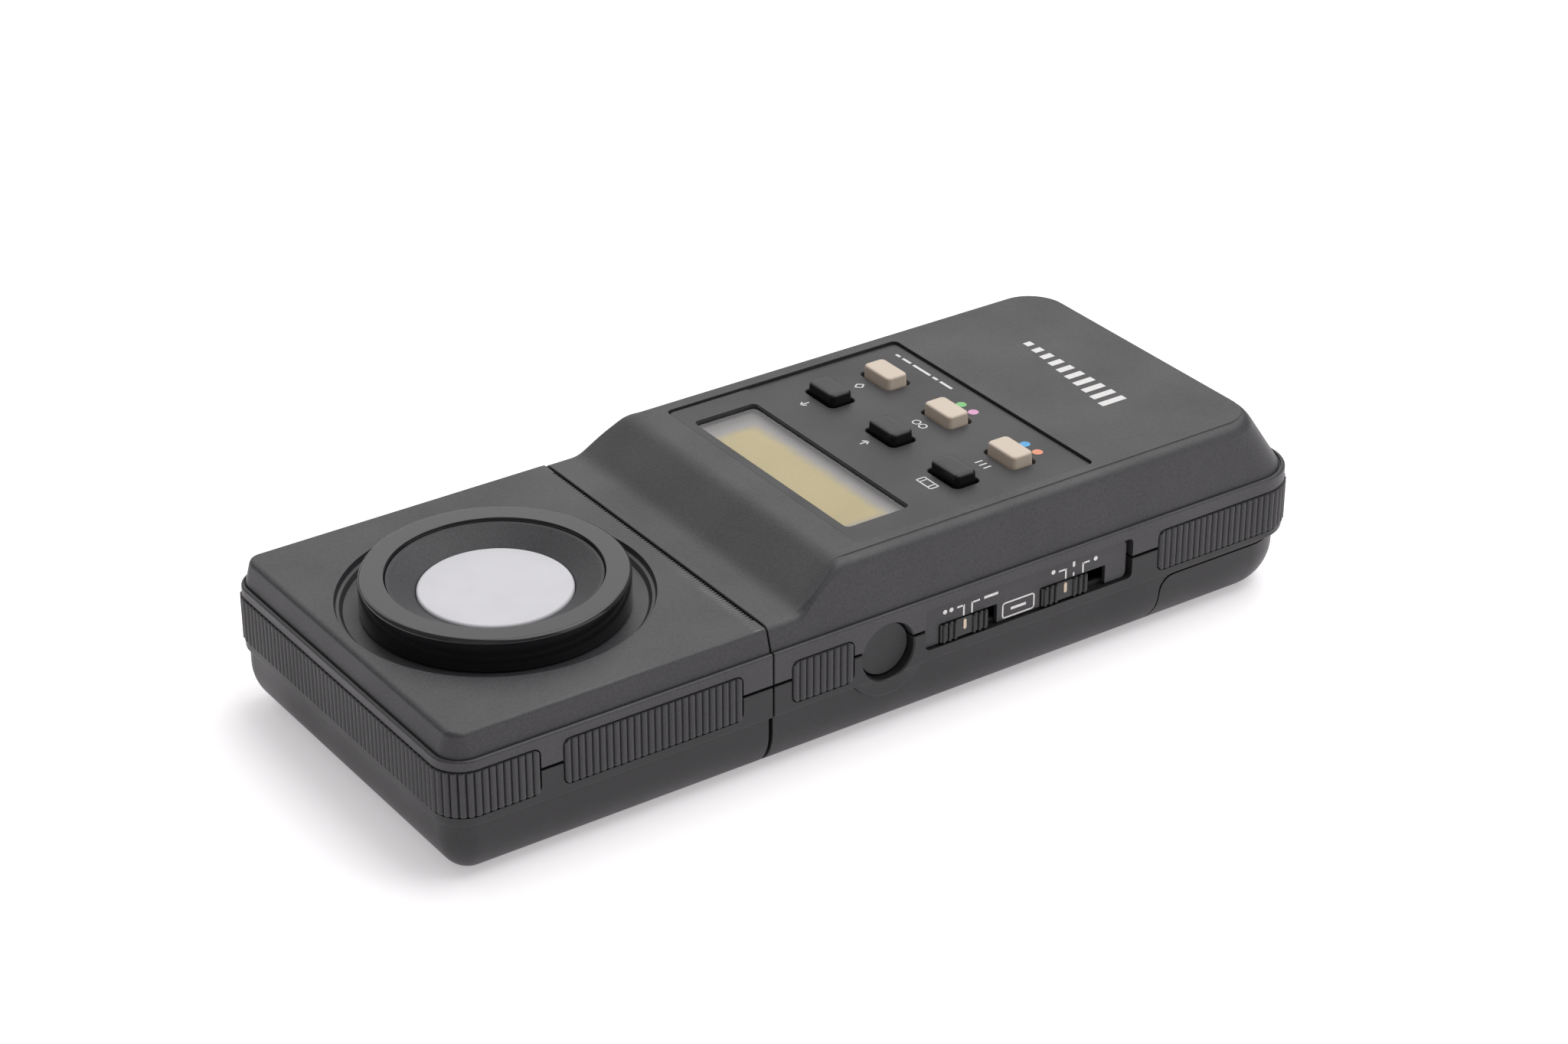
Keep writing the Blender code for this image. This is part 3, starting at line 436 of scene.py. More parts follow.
def moulded(name, colour, roughness, grain, relief, dust=0.0, mottle=0.26, specular=0.5):
    """Moulded plastic: spark-eroded grain (its size and height in mm), cloudy sheen and, if asked, dust."""
    g = Graph(name)
    g.set("Specular IOR Level", specular)
    fine = g.noise(grain, 2.0, 0.6)
    cloud = g.noise(16.0, 3.0, 0.5)
    base = g.ramp(fine, (0.3, tint(colour, 1 - mottle)), (0.7, tint(colour, 1 + mottle)))
    g.use("Base Color", dusted(g, base, dust) if dust else base)
    g.use("Roughness", g.ramp(cloud, (0.3, roughness - 0.05), (0.7, roughness + 0.06)))
    g.relief((fine, relief), (cloud, 0.02))
    return g.material


def glossy(name, colour, roughness, specular=0.5):
    """Polished plastic with hairline scratches and a faint haze."""
    g = Graph(name)
    scratch = g.noise(0.5, 2.0, 0.7, g.scaled(1.0, 0.06, 1.0))
    haze = g.noise(9.0, 4.0, 0.6)
    g.use("Base Color", g.ramp(haze, (0.3, tint(colour, 0.9)), (0.7, tint(colour, 1.12))))
    lines = g.ramp(scratch, (0.62, 0.0), (0.7, 0.12))
    g.use("Roughness", g.math("ADD", g.ramp(haze, (0.3, roughness), (0.7, roughness + 0.07)), lines))
    g.relief((haze, 0.003), (scratch, 0.0003))
    g.set("Specular IOR Level", specular)
    return g.material


def metal(name, colour, roughness):
    g = Graph(name, metallic=1.0)
    brushed = g.noise(0.25, 3.0, 0.6, g.scaled(1.0, 0.08, 1.0))
    g.use("Base Color", g.ramp(brushed, (0.3, tint(colour, 0.8)), (0.7, tint(colour, 1.1))))
    g.use("Roughness", g.ramp(brushed, (0.3, roughness), (0.7, roughness + 0.15)))
    g.relief((brushed, 0.004))
    return g.material


def opal():
    """Milky diffuser: faint clouding, finely ground surface, light inside."""
    g = Graph("opal_acrylic")
    cloud = g.noise(6.0, 3.0, 0.5)
    ground = g.noise(0.12, 2.0, 0.6)
    g.use("Base Color", g.ramp(cloud, (0.3, (0.57, 0.56, 0.585)), (0.7, (0.60, 0.59, 0.615))))
    g.use("Roughness", g.ramp(ground, (0.3, 0.32), (0.7, 0.44)))
    g.set("Subsurface Weight", 0.35)
    g.set("Subsurface Radius", (1.0, 1.0, 1.0))
    g.set("Subsurface Scale", 0.0012)
    g.relief((ground, 0.002))
    return g.material


def window_glass():
    """Clear window, slightly grey, that reflects more at a glancing angle."""
    g = Graph("clear_window", roughness=0.04, metallic=1.0)
    smear = g.noise(7.0, 3.0, 0.5)
    g.use("Base Color", g.ramp(smear, (0.3, (0.95, 0.95, 0.95)), (0.7, (1.0, 1.0, 1.0))))
    g.use("Roughness", g.ramp(smear, (0.35, 0.02), (0.75, 0.07)))
    fresnel = g.nodes.new("ShaderNodeFresnel")
    fresnel.inputs["IOR"].default_value = 1.45
    outside = g.math("SUBTRACT", 1.0, g.backfacing())
    mirror = g.math("MULTIPLY", fresnel.outputs["Fac"], outside)
    g.surface(mirror, g.clear((0.9, 0.9, 0.89)), g.shader.outputs[0])
    return g.material


def display_glass():
    """Reflective display: yellow-green field that fades at its edges to grey, a painted shadow of the bezel's rim.
    """
    g = Graph("display_cell", roughness=0.28)
    low, high = WINDOW
    # distance inwards from each side of the field; the band between it and the window's edges is painted bezel
    # shadow
    x, y = g.mm("X"), g.mm("Y")
    past_shadow_left = g.math("SUBTRACT", x, low.x + 1.6)
    past_shadow_right = g.math("SUBTRACT", high.x - 3.4, x)
    past_shadow_low = g.math("SUBTRACT", y, low.y + 1.9)
    past_shadow_high = g.math("SUBTRACT", high.y + 0.4, y)
    across = g.math("SMOOTH_MIN", past_shadow_left, past_shadow_right, 1.5)
    inner = g.math("SMOOTH_MIN", g.math("SMOOTH_MIN", across, past_shadow_low, 1.5), past_shadow_high, 1.5)
    wobble = g.math("MULTIPLY", g.noise(5.0, 2.0), 0.5)
    field = g.ramp(g.math("ADD", g.math("MULTIPLY", inner, 0.26), wobble), (0.2, 0.0), (0.75, 1.0))
    sheen = g.noise(14.0, 2.0)
    yellow = g.ramp(sheen, (0.3, (0.50, 0.39, 0.13)), (0.7, (0.58, 0.46, 0.17)))
    # the grey is painted shadow of the bezel's rim, where the field share falls to 0
    g.use("Base Color", g.mix(field, (0.29, 0.265, 0.28), yellow))
    grain = g.noise(0.2, 2.0)
    g.relief((grain, 0.0004))
    return g.material


def circuit_board():
    """Green solder mask with track-like ridges and tinned pads."""
    g = Graph("solder_mask")
    tracks = g.ramp(g.noise(1.6, 1.0, 0.4, g.scaled(1.0, 0.15, 1.0)), (0.46, 0.0), (0.5, 1.0))
    pads = g.ramp(g.cells(2.4), (0.0, 1.0), (0.16, 1.0), (0.2, 0.0))
    green = g.mix(tracks, (0.012, 0.10, 0.035), (0.02, 0.17, 0.06))
    g.use("Base Color", g.mix(pads, green, (0.55, 0.54, 0.5)))
    g.use("Roughness", g.ramp(pads, (0.0, 0.42), (1.0, 0.25)))
    g.use("Metallic", pads)
    g.relief((tracks, 0.03), (pads, 0.03))
    return g.material


def filter_glass(name, colour):
    g = Graph(name, roughness=0.08)
    streak = g.noise(1.2, 3.0)
    g.use("Base Color", g.ramp(streak, (0.3, tint(colour, 0.85)), (0.7, tint(colour, 1.15))))
    g.set("Transmission Weight", 0.6)
    g.relief((streak, 0.002))
    return g.material


def battery_skin():
    """Printed steel can: dark body, one copper-coloured band at the stud end."""
    g = Graph("battery_can", roughness=0.32, metallic=0.5)
    band = g.ramp(g.math("MULTIPLY", g.axis("X"), 20.0), (0.18, 0.0), (0.2, 1.0))
    rub = g.noise(2.0, 4.0)
    dark = g.ramp(rub, (0.3, (0.03, 0.034, 0.045)), (0.7, (0.05, 0.055, 0.07)))
    g.use("Base Color", g.mix(band, dark, (0.55, 0.25, 0.1)))
    g.use("Roughness", g.ramp(rub, (0.3, 0.26), (0.7, 0.42)))
    g.relief((rub, 0.01))
    return g.material


def ink(name, colour):
    g = Graph(name)
    patch = g.noise(0.35, 3.0)
    g.use("Base Color", g.ramp(patch, (0.3, tint(colour, 0.9)), (0.7, tint(colour, 1.05))))
    g.use("Roughness", g.ramp(patch, (0.3, 0.45), (0.7, 0.6)))
    g.relief((patch, 0.004))
    return g.material


def satin_seam_streaks(name, colour, roughness):
    """Head cover: grained top, a little smoother beside the seam, with a comb of paler streaks there."""
    g = Graph(name)
    fine = g.noise(0.4, 2.0, 0.6)
    cloud = g.noise(16.0, 3.0, 0.5)
    base = g.ramp(fine, (0.3, tint(colour, 0.75)), (0.7, tint(colour, 1.28)))
    # the streaks are as fine as the seam's teeth and stay in a strip near the seam, on top, switch side
    x, y = g.mm("X"), g.mm("Y")
    strip = g.ramp(g.math("SUBTRACT", y, HEAD_SEAM), (0.5, 1.0), (0.95, 0.0))
    comb = g.ramp(g.math("SINE", g.math("MULTIPLY", x, math.tau / SEAM_PITCH)), (0.1, 0.0), (0.8, 1.0))
    away = g.math("MULTIPLY_ADD", y, 0.25, -HEAD_SEAM * 0.25)
    reach = g.math("MULTIPLY", g.ramp(away, (0.14, 0.0), (0.24, 1.0)), g.ramp(away, (0.4, 1.0), (0.66, 0.0)))
    near = g.ramp(g.math("MULTIPLY", x, -1 / HALF_W), (0.0, 0.05), (0.5, 1.0))
    top = g.ramp(g.math("MULTIPLY_ADD", g.axis("Z"), 1000.0, -HEAD_TOP + 0.9), (0.0, 0.0), (0.35, 1.0))
    patchy = g.ramp(g.noise(5.0, 2.0), (0.38, 0.1), (0.6, 0.6))
    seam_streaks = g.math("MULTIPLY", g.math("MULTIPLY", comb, g.math("MULTIPLY", reach, near)),
                    g.math("MULTIPLY", top, patchy))
    base = g.mix(seam_streaks, base, (0.2, 0.195, 0.19))
    g.use("Base Color", dusted(g, base, 0.35))
    g.use("Roughness", g.math("SUBTRACT", g.ramp(cloud, (0.3, roughness - 0.04), (0.7, roughness + 0.06)),
                              g.math("MULTIPLY", strip, 0.05)))
    g.relief((fine, 0.016), (cloud, 0.02))
    return g.material


BLACK = (0.034, 0.0322, 0.0352)
MATERIALS = {
    "head_cover": satin_seam_streaks("satin_cover", BLACK, 0.46),
    "top_cover": moulded("grained_cover", BLACK, 0.46, 0.4, 0.016, dust=0.35),
    # painted shade: the rear shells, battery door and button are the covers' black plastic at half its brightness
    "shell": moulded("grained_shell", tint(BLACK, 0.5), 0.44, 0.3, 0.008, specular=0.43),
    "gloss_ring": glossy("gloss_ring", (0.009, 0.009, 0.010), 0.09),
    "matte_dish": moulded("matte_dish", (0.04, 0.039, 0.042), 0.62, 0.35, 0.012),
    "opal_disc": opal(),
    "grip": moulded("ribbed_rubber", (0.03, 0.0288, 0.031), 0.5, 0.3, 0.006),
    "panel": moulded("panel_plate", (0.032, 0.0305, 0.033), 0.5, 0.25, 0.007, dust=0.3),
    "slider": glossy("slider_plastic", (0.009, 0.009, 0.010), 0.26),
    "window": window_glass(),
    "lcd": display_glass(),
    "inner_plastic": moulded("inner_plastic", (0.02, 0.02, 0.021), 0.6, 0.4, 0.01),
    "dark_key": glossy("dark_key", (0.006, 0.006, 0.007), 0.2, specular=0.3),
    "pale_key": moulded("pale_key", (0.6, 0.505, 0.41), 0.42, 0.25, 0.003, mottle=0.04),
    "circuit_board": circuit_board(),
    "silicone": moulded("silicone", (0.3, 0.3, 0.31), 0.65, 0.5, 0.01),
    "metal_can": metal("metal_can", (0.62, 0.62, 0.63), 0.25),
    "spring_steel": metal("spring_steel", (0.55, 0.55, 0.56), 0.3),
    "screw_steel": metal("screw_steel", (0.32, 0.32, 0.33), 0.32),
    "red_glass": filter_glass("red_glass", (0.6, 0.04, 0.03)),
    "green_glass": filter_glass("green_glass", (0.04, 0.4, 0.08)),
    "blue_glass": filter_glass("blue_glass", (0.04, 0.1, 0.5)),
    "battery_can": battery_skin(),
    "red_wire": moulded("red_wire", (0.5, 0.03, 0.02), 0.4, 0.6, 0.01),
    "black_wire": moulded("black_wire", (0.02, 0.02, 0.02), 0.4, 0.6, 0.01),
    "white_ink": ink("white_ink", (0.72, 0.71, 0.7)),
    "pale_ink": ink("pale_ink", (0.62, 0.5, 0.38)),
    "green_ink": ink("green_ink", (0.20, 0.52, 0.19)),
    "pink_ink": ink("pink_ink", (0.68, 0.34, 0.54)),
    "blue_ink": ink("blue_ink", (0.08, 0.37, 0.68)),
    "orange_ink": ink("orange_ink", (0.74, 0.29, 0.16)),
}


def finish(obj, look, body, slot, *nodes, angle=32):
    """Give a piece its material and shading, hang it on the body that it rides on, and hide the CAD nodes that it
    stands for.
    """
    obj.data.materials.clear()
    obj.data.materials.append(MATERIALS[look])
    shade(obj, angle)
    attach(obj, body)
    if nodes:
        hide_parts(*nodes)


# ---- shells ----
def top_height(y):
    """Height of the body's top: level, a brow, a ramp and the low saddle beside the seam."""
    across, rise = SADDLE_Y - RAMP_TOP_Y, HEAD_TOP + SADDLE_R - (BODY_TOP - BROW_R)
    slope = math.asin((SADDLE_R + BROW_R) / math.hypot(across, rise)) - math.atan2(rise, across)
    brow_end = RAMP_TOP_Y + BROW_R * math.sin(slope)
    foot = SADDLE_Y - SADDLE_R * math.sin(slope)
    if y <= RAMP_TOP_Y:
        return BODY_TOP
    if y < brow_end:
        return BODY_TOP - BROW_R + math.sqrt(BROW_R ** 2 - (y - RAMP_TOP_Y) ** 2)
    if y < foot:
        start = BODY_TOP - BROW_R + BROW_R * math.cos(slope)
        return start - (y - brow_end) * math.tan(slope)
    if y < SADDLE_Y:
        return HEAD_TOP + SADDLE_R - math.sqrt(SADDLE_R ** 2 - (SADDLE_Y - y) ** 2)
    return HEAD_TOP


def edge_radius(y):
    """The top edge is a broad round on the body and tightens where it runs down the ramp."""
    middle = (SADDLE_Y + RAMP_TOP_Y) / 2
    return 2.0 - 1.0 * math.exp(-((y - middle) / 3.6) ** 2)


def front_profile(top, edge, shrink=0.0, table=0.0):
    """(inset, z) from the parting line over the belt, its groove and the drafted wall to the top.

    With a table, from 0 to 1, the round ends below the flat top, and a small step leads up to that.
    """
    groove = BELT_TOP - 0.35
    drop = 0.42 * table
    corners = [
        (PARTING_BREAK, FRONT_FOOT, 0),
        (0.0, FRONT_FOOT + PARTING_BREAK, 0),
        (0.0, BELT_TOP, BELT_ROUND),
        (LEDGE, BELT_TOP, 0.06),
        (LEDGE + 0.02, groove, 0.06),
        (WALL_FOOT, groove, 0.06),
        (WALL_FOOT + WALL_DRAFT * (top - drop - groove), top - drop, edge),
    ]
    if table:
        corners += [(TABLE_INSET, top - TABLE_STEP * table, 0), (TABLE_INSET + 0.05, top, 0)]
    rows = rounded(corners + [(WALL_FOOT + 9.0, top, 0)], steps=7, closed=False)
    return [(inset + shrink, z) for inset, z in rows[:-1]]


def lower_round(wall=0.0, low=0.0, steps=16):
    """(inset, z) up the lower shell's quarter ellipse; with a wall, up its inside from a height."""
    start = math.acos((BOTTOM_RISE - low) / (BOTTOM_RISE - wall))
    angles = [start + (math.pi / 2 - start) * i / steps for i in range(steps + 1)]
    return [(LEDGE + BOTTOM_INSET - (BOTTOM_INSET - wall) * math.sin(t),
             BOTTOM_RISE - (BOTTOM_RISE - wall) * math.cos(t)) for t in angles]


def rear_profile(shrink=0.0, belt=True):
    """(inset, z) up the rear shell: the lower round, and above it the belt's lower half."""
    rows = lower_round() + [(LEDGE, BELT_LOW)]
    if belt:
        rows += rounded([(LEDGE - 0.02, BELT_LOW + 0.03, 0), (0.0, BELT_LOW + 0.05, 0.45),
                         (0.0, REAR_TOP - PARTING_BREAK, 0), (PARTING_BREAK, REAR_TOP, 0)], closed=False)
    return [(inset + shrink, z) for inset, z in rows]


def corner_radius(end, inset, z):
    """Radius of an end's corners at an inset: the lower shell has its own."""
    if z > BELT_LOW + 0.01:
        return max(end.corner - end.corner_fall * inset, SMALLEST_CORNER)
    return max(end.low_corner - LOW_CORNER_FALL * inset, SMALLEST_CORNER)


def end_inset(end, inset, z):
    """Inset of an end wall where the side walls have this inset; they differ above the belt's groove."""
    if z < BELT_TOP - 1 or inset < LEDGE:
        return inset
    rise = max(z - BELT_TOP, 0.0)
    beyond = max(inset - WALL_FOOT - WALL_DRAFT * rise, 0.0)
    return inset - (1 - end.edge) * beyond + (end.wall_draft - WALL_DRAFT) * rise


def skin(name, profile, stations, end):
    """A closed half of a shell: square at its first station, rounded at its far end.

    profile(y) gives the rows of (inset, z) there; the last rows bound the top, in strips where it
    isn't level.
    """
    side = 1 if end.y > stations[0] else -1
    end_rows = profile(end.y)
    side_rows = [profile(y) for y in stations]
    bm = bmesh.new()
    loops = []
    for k, (inset, z) in enumerate(end_rows):
        radius = corner_radius(end, inset, z)
        centre = (HALF_W - inset - radius, end.y - side * (end_inset(end, inset, z) + radius))
        right = [(HALF_W - rows[k][0], y, rows[k][1]) for y, rows in zip(stations, side_rows)]
        right += [(x, y, z) for x, y in arc(centre, radius, 0, 90 * side, CORNER_STEPS)]
        ring = right + [(-x, y, z) for x, y, z in reversed(right)]
        loops.append([bm.verts.new(point) for point in ring])
    count = len(loops[0])
    for lower, upper in zip(loops, loops[1:]):
        for i in range(count - 1):
            bm.faces.new((lower[i], lower[i + 1], upper[i + 1], upper[i]))
    bm.faces.new([loop[0] for loop in loops] + [loop[-1] for loop in reversed(loops)])
    bm.faces.new(loops[0])
    top = loops[-1]
    first = 0
    while abs(top[first].co.z - end_rows[-1][1]) > 1e-4:
        bm.faces.new((top[first], top[first + 1], top[count - 2 - first], top[count - 1 - first]))
        first += 1
    bm.faces.new(top[first:count - first])
    return as_object(name, bm)


def hollow(name, rows, seam, end):
    """The space inside a shell, as a cutter with the same rows all along."""
    return skin(name, lambda y: rows, [seam], end._replace(edge=1.0))


def seam_break(y, seam):
    """How much a shell is drawn in at its seam, for a small chamfer."""
    return EDGE_BREAK if abs(y - seam) < 1e-4 else 0.0


def seam_stations(seam, end, marks=()):
    """Stations from the seam inwards: one at the broken edge, then the marks."""
    side = 1 if end.y > seam else -1
    return [seam, seam + side * EDGE_BREAK, *marks]


def u_band(name, depth_out, depth_in, start, end, low, high):
    """A plain band round an end of the meter, from side to side.

    It reaches depth_out outside the belt and depth_in inside it.
    """
    side = 1 if end.y > start else -1

    def half_path(offset):
        radius = end.corner + offset
        centre = (HALF_W - end.corner, end.y - side * end.corner)
        return [(HALF_W + offset, start)] + arc(centre, radius, 0, 90 * side, CORNER_STEPS)

    outer = half_path(depth_out)
    inner = half_path(-depth_in)
    outline = outer + [(-x, y) for x, y in reversed(outer)] + [(-x, y) for x, y in inner] + inner[::-1]
    return upright(name, outline, low, high)


def side_window(name, node_box, spread, left=-OUTSIDE, right=OUTSIDE):
    """A side grip's outline, grown by spread and pushed through the meter."""
    low, high = node_box
    outline = rounded_box((low.y - spread, low.z - spread), (high.y + spread, high.z + spread),
                          GRIP_CORNER_R + spread)
    return crossways(name, outline, left, right)


def end_window(name, node_box, end, spread):
    """Like side_window, but open past the meter's end."""
    low, high = node_box
    side = 1 if end.y > 0 else -1
    start = (low.y if side > 0 else high.y) - side * spread
    beyond = end.y + side * 5
    z0, z1 = low.z - spread, high.z + spread
    radius = GRIP_CORNER_R + spread
    corners = [(start, z0, radius), (beyond, z0, 0), (beyond, z1, 0), (start, z1, radius)]
    return crossways(name, rounded(corners))


def grip_cutters(prefix, side_node, wrap_node, end):
    """What takes the grips' recesses out of a shell."""
    cutters = []
    for side in (-1, 1):
        reach = sorted((side * (HALF_W - GRIP_DEPTH - GAP), side * (HALF_W + 2)))
        cutters.append(side_window(f"{prefix}_side_{side}", mm_box(side_node), GRIP_ROOM, *reach))
    wrap = mm_box(wrap_node)
    turn = 1 if end.y > 0 else -1
    start = (wrap[0].y if turn > 0 else wrap[1].y) - turn * 1.0
    band = u_band(f"{prefix}_wrap", 2.0, GRIP_DEPTH + GAP, start, end, wrap[0].z - 1, wrap[1].z + 1)
    cutters.append(keep(band, end_window(f"{prefix}_wrap_window", wrap, end, GRIP_ROOM)))
    return cutters


def swivel_bore(name, wall):
    return rod(name, BORE_R, (0, wall[0], SWIVEL_Z), (0, wall[1], SWIVEL_Z))


def make_head_cover():
    seam = HEAD_SEAM

    def profile(y):
        shrink = seam_break(y, seam)
        return front_profile(HEAD_TOP - shrink, HEAD_EDGE_R, shrink)

    shell = skin("head_cover", profile, seam_stations(seam, HEAD), HEAD)
    ceiling = MOAT_FLOOR - 1.5
    inside = [(WALL, FRONT_FOOT - 1), (WALL, BELT_TOP - 1), (WALL + 2.2, ceiling)]
    cutters = [hollow("head_cover_hollow", inside, seam + WALL, HEAD)]
    skirt = RING_R - 1.7
    moat = rounded([(0, HEAD_TOP + 2, 0), (MOAT_R + 0.35, HEAD_TOP + 2, 0), (MOAT_R + 0.3, HEAD_TOP, 0.14),
                    (MOAT_R, HEAD_TOP - 0.95, 0.1), (MOAT_R - 0.55, HEAD_TOP - 1.05, 0.1),
                    (MOAT_R - 1.1, MOAT_FLOOR, 0.2), (skirt, MOAT_FLOOR, 0), (skirt, 20, 0), (0, 20, 0)], 4)
    cutters.append(turned("moat_cutter", moat, (0, RING_Y, 0)))
    cutters.append(crossways("seam_strip", [(seam - 1, HEAD_TOP - 0.42), (seam, HEAD_TOP - 0.3),
                                            (seam + 1.75, HEAD_TOP - 0.1), (seam + 2.0, HEAD_TOP + 0.2),
                                            (seam + 2.0, HEAD_TOP + 1), (seam - 1, HEAD_TOP + 1)]))
    cutters.append(seam_teeth(seam))
    cutters.append(swivel_bore("head_cover_bore", (seam - 2, seam + WALL + 2)))
    cut(shell, *cutters)
    cut(shell, *grip_cutters("head_cover", "head_side_grip_left", "head_end_grip", HEAD))
    finish(shell, "head_cover", "head", "shell", "head_front_shell")


def seam_teeth(seam):
    """Fine V notches along the head cover's edge at the seam."""
    pitch, depth, half_span = SEAM_PITCH, 0.62, 30.6
    count = int(2 * half_span / pitch)
    outline = [(-half_span, seam - 1)]
    for i in range(count):
        x = -half_span + pitch * i
        outline += [(x + 0.08, seam - 0.05), (x + pitch * 0.5, seam + depth),
                    (x + pitch * 0.92, seam - 0.05)]
    outline.append((half_span, seam - 1))
    return upright("seam_teeth", outline, HEAD_TOP - 0.9, HEAD_TOP + 1)


def rear_hollow(name, seam, end):
    """The space inside a rear shell: up its rounded floor and straight on past its top."""
    return hollow(name, lower_round(BOTTOM_WALL, WALL, 8) + [(WALL, REAR_TOP + 1)], seam, end)


def add_posts(shell, spots, prefix):
    """Screw posts with their counterbores, put into a rear shell."""
    posts, holes = [], []
    for i, (x, y) in enumerate(spots):
        for side in (-1, 1):
            at = (side * x, y)
            posts.append(rod(f"{prefix}_post_{i}_{side}", POST_R, (*at, 1.0), (*at, REAR_TOP - 0.1), 40))
            holes.append(rod(f"{prefix}_hole_{i}_{side}", HOLE_R, (*at, 1.0), (*at, REAR_TOP + 1), 32))
            seat = [(0, -1), (SEAT_R + 0.35, -1), (SEAT_R + 0.35, 0.01), (SEAT_R, 0.36),
                    (SEAT_R, SCREW_SEAT_Z), (0, SCREW_SEAT_Z)]
            holes.append(turned(f"{prefix}_seat_{i}_{side}", seat, (*at, 0), segments=48))
    add(shell, *posts)
    cut(shell, *holes)


def make_head_tray():
    seam = HEAD_SEAM
    shell = skin("head_tray", lambda y: rear_profile(seam_break(y, seam)), seam_stations(seam, HEAD), HEAD)
    relief = rounded([(seam - 1, BELT_LOW + 0.2, 0), (seam + 0.5, BELT_LOW + 0.2, 0.2), (seam + 0.5, -1, 0),
                      (seam - 1, -1, 0)])
    cut(shell, rear_hollow("head_tray_hollow", seam + WALL, HEAD))
    bore = swivel_bore("head_tray_bore", (seam - 2, seam + WALL + 2))
    cut(shell, crossways("head_tray_seam", relief), bore)
    add_posts(shell, POSTS["head"], "head")
    cut(shell, *grip_cutters("head_tray", "head_side_grip_left", "head_end_grip", HEAD))
    finish(shell, "shell", "head", "shell", "head_rear_shell")


def body_side_cutters(prefix):
    """Recesses in the body's sides: grips, button and switch plate."""
    cutters = grip_cutters(prefix, "body_side_grip_left", "base_end_grip", BASE)
    hole_r = BUTTON_R + GAP
    hole = [(0, 0), (hole_r, 0), (hole_r, 5.7), (hole_r + 0.35, 6.2), (hole_r + 0.35, 8), (0, 8)]
    cutters.append(turned(f"{prefix}_button_hole", hole, (-HALF_W + 6, BUTTON_Y, BUTTON_Z), (-1, 0, 0)))
    recess_x = PLATE[1].x + GAP
    low, high = plate_recess()
    cutters.append(crossways(f"{prefix}_plate", rounded_box(low, high, 1.0), -HALF_W - 2, recess_x))
    window = rounded_box((low[0] + 1.2, low[1] + 0.9), (high[0] - 1.2, high[1] - 0.9), 0.5)
    cutters.append(crossways(f"{prefix}_window", window, -HALF_W - 2, -HALF_W + 6))
    return cutters


def plate_recess():
    """Corners (y, z) of the recess that the switch plate lies in."""
    return (PLATE[0].y - GAP, PLATE[0].z - GAP), (PLATE[1].y + GAP, PLATE[1].z + GAP)


def make_body_cover():
    seam = BODY_SEAM

    def profile(y):
        shrink = seam_break(y, seam)
        fade = max(0.0, min(1.0, (RAMP_TOP_Y + 2.0 - y) / 3.0))
        table = 0.12 + 0.88 * fade      # the table's step all but fades out over the brow
        return front_profile(top_height(y) - shrink, edge_radius(y), shrink, table)

    bend = [SADDLE_Y + 2.0 - 0.55 * i for i in range(1, 32)]
    shell = skin("body_cover", profile, seam_stations(seam, BASE, bend + [2.0, -2.0]), BASE)
    low = [(WALL, FRONT_FOOT - 1), (WALL, BELT_TOP - 1), (WALL + 1.0, 24.4)]
    high = [(WALL + 1.1, 24.0), (WALL + 3.2, 30.2)]
    cutters = [hollow("body_low_hollow", low, seam - WALL, BASE),
               hollow("body_high_hollow", high, 5.5, BASE)]
    lip = [(PANEL[0].x - GAP, PANEL[0].y - GAP), (PANEL[1].x + GAP, PANEL[1].y + GAP)]
    cutters.append(upright("panel_recess", rounded_box(*lip, 1.1), PANEL[0].z - GAP, BODY_TOP + 2))
    for label, (start, end) in (("lcd", LCD_OPENING), ("key", KEY_OPENING)):
        cutters.append(block(f"{label}_opening", (*start, OPENING_Z[0]), (*end, OPENING_Z[1])))
    cutters.append(swivel_bore("body_cover_bore", (seam - WALL - 2, seam + 2)))
    cut(shell, *cutters)
    cut(shell, *body_side_cutters("body_cover"))
    finish(shell, "top_cover", "body", "shell", "body_front_shell")


def door_curve(clearance):
    """Side view of the battery door: up the shell, round a corner, then level under the belt."""
    front, top = DOOR_FRONT + clearance, DOOR_TOP + clearance
    return rounded([(front + DOOR_FLARE, -2.0, 0), (front + 0.85, 2.2, 2.0), (front + 0.2, 4.6, 3.0),
                    (front, top, DOOR_CORNER_R), (BODY_END - 3, top, 0), (BODY_END - 3, -2.0, 0)])


def make_body_tray():
    seam = BODY_SEAM
    shell = skin("body_tray", lambda y: rear_profile(seam_break(y, seam)), seam_stations(seam, BASE), BASE)
    boss_r = BUTTON_R + 3.1
    boss = rounded([(0, 0, 0), (boss_r + 1.2, 0, 0), (boss_r, 2.8, 0.4), (0, 2.8, 0)])
    boss = turned("button_boss", boss, (-HALF_W + 2.83, BUTTON_Y, BUTTON_Z), (-1, 0, 0))
    cut(boss, block("boss_top", (-OUTSIDE, -20, REAR_TOP - 0.05), (0, 20, 40)))
    add(shell, boss)
    cut(shell, rear_hollow("body_tray_hollow", seam - WALL, BASE))
    # the partition's sides end inside the thickness of the shell's walls
    right = [(30.5, 1.0), (33.0, 4.0), (33.8, BOTTOM_RISE), (33.8, REAR_TOP - 0.1)]
    outline = right + [(-x, z) for x, z in reversed(right)]
    add(shell, prism("battery_partition", outline, lambda u, v, far: (u, PARTITION_Y[far], v)))
    cut(shell, crossways("door_gap", door_curve(GAP)))
    add_posts(shell, POSTS["body"], "body")
    cut(shell, swivel_bore("body_tray_bore", (seam - WALL - 2, seam + 2)), *body_side_cutters("body_tray"))
    finish(shell, "shell", "body", "shell", "body_rear_shell")


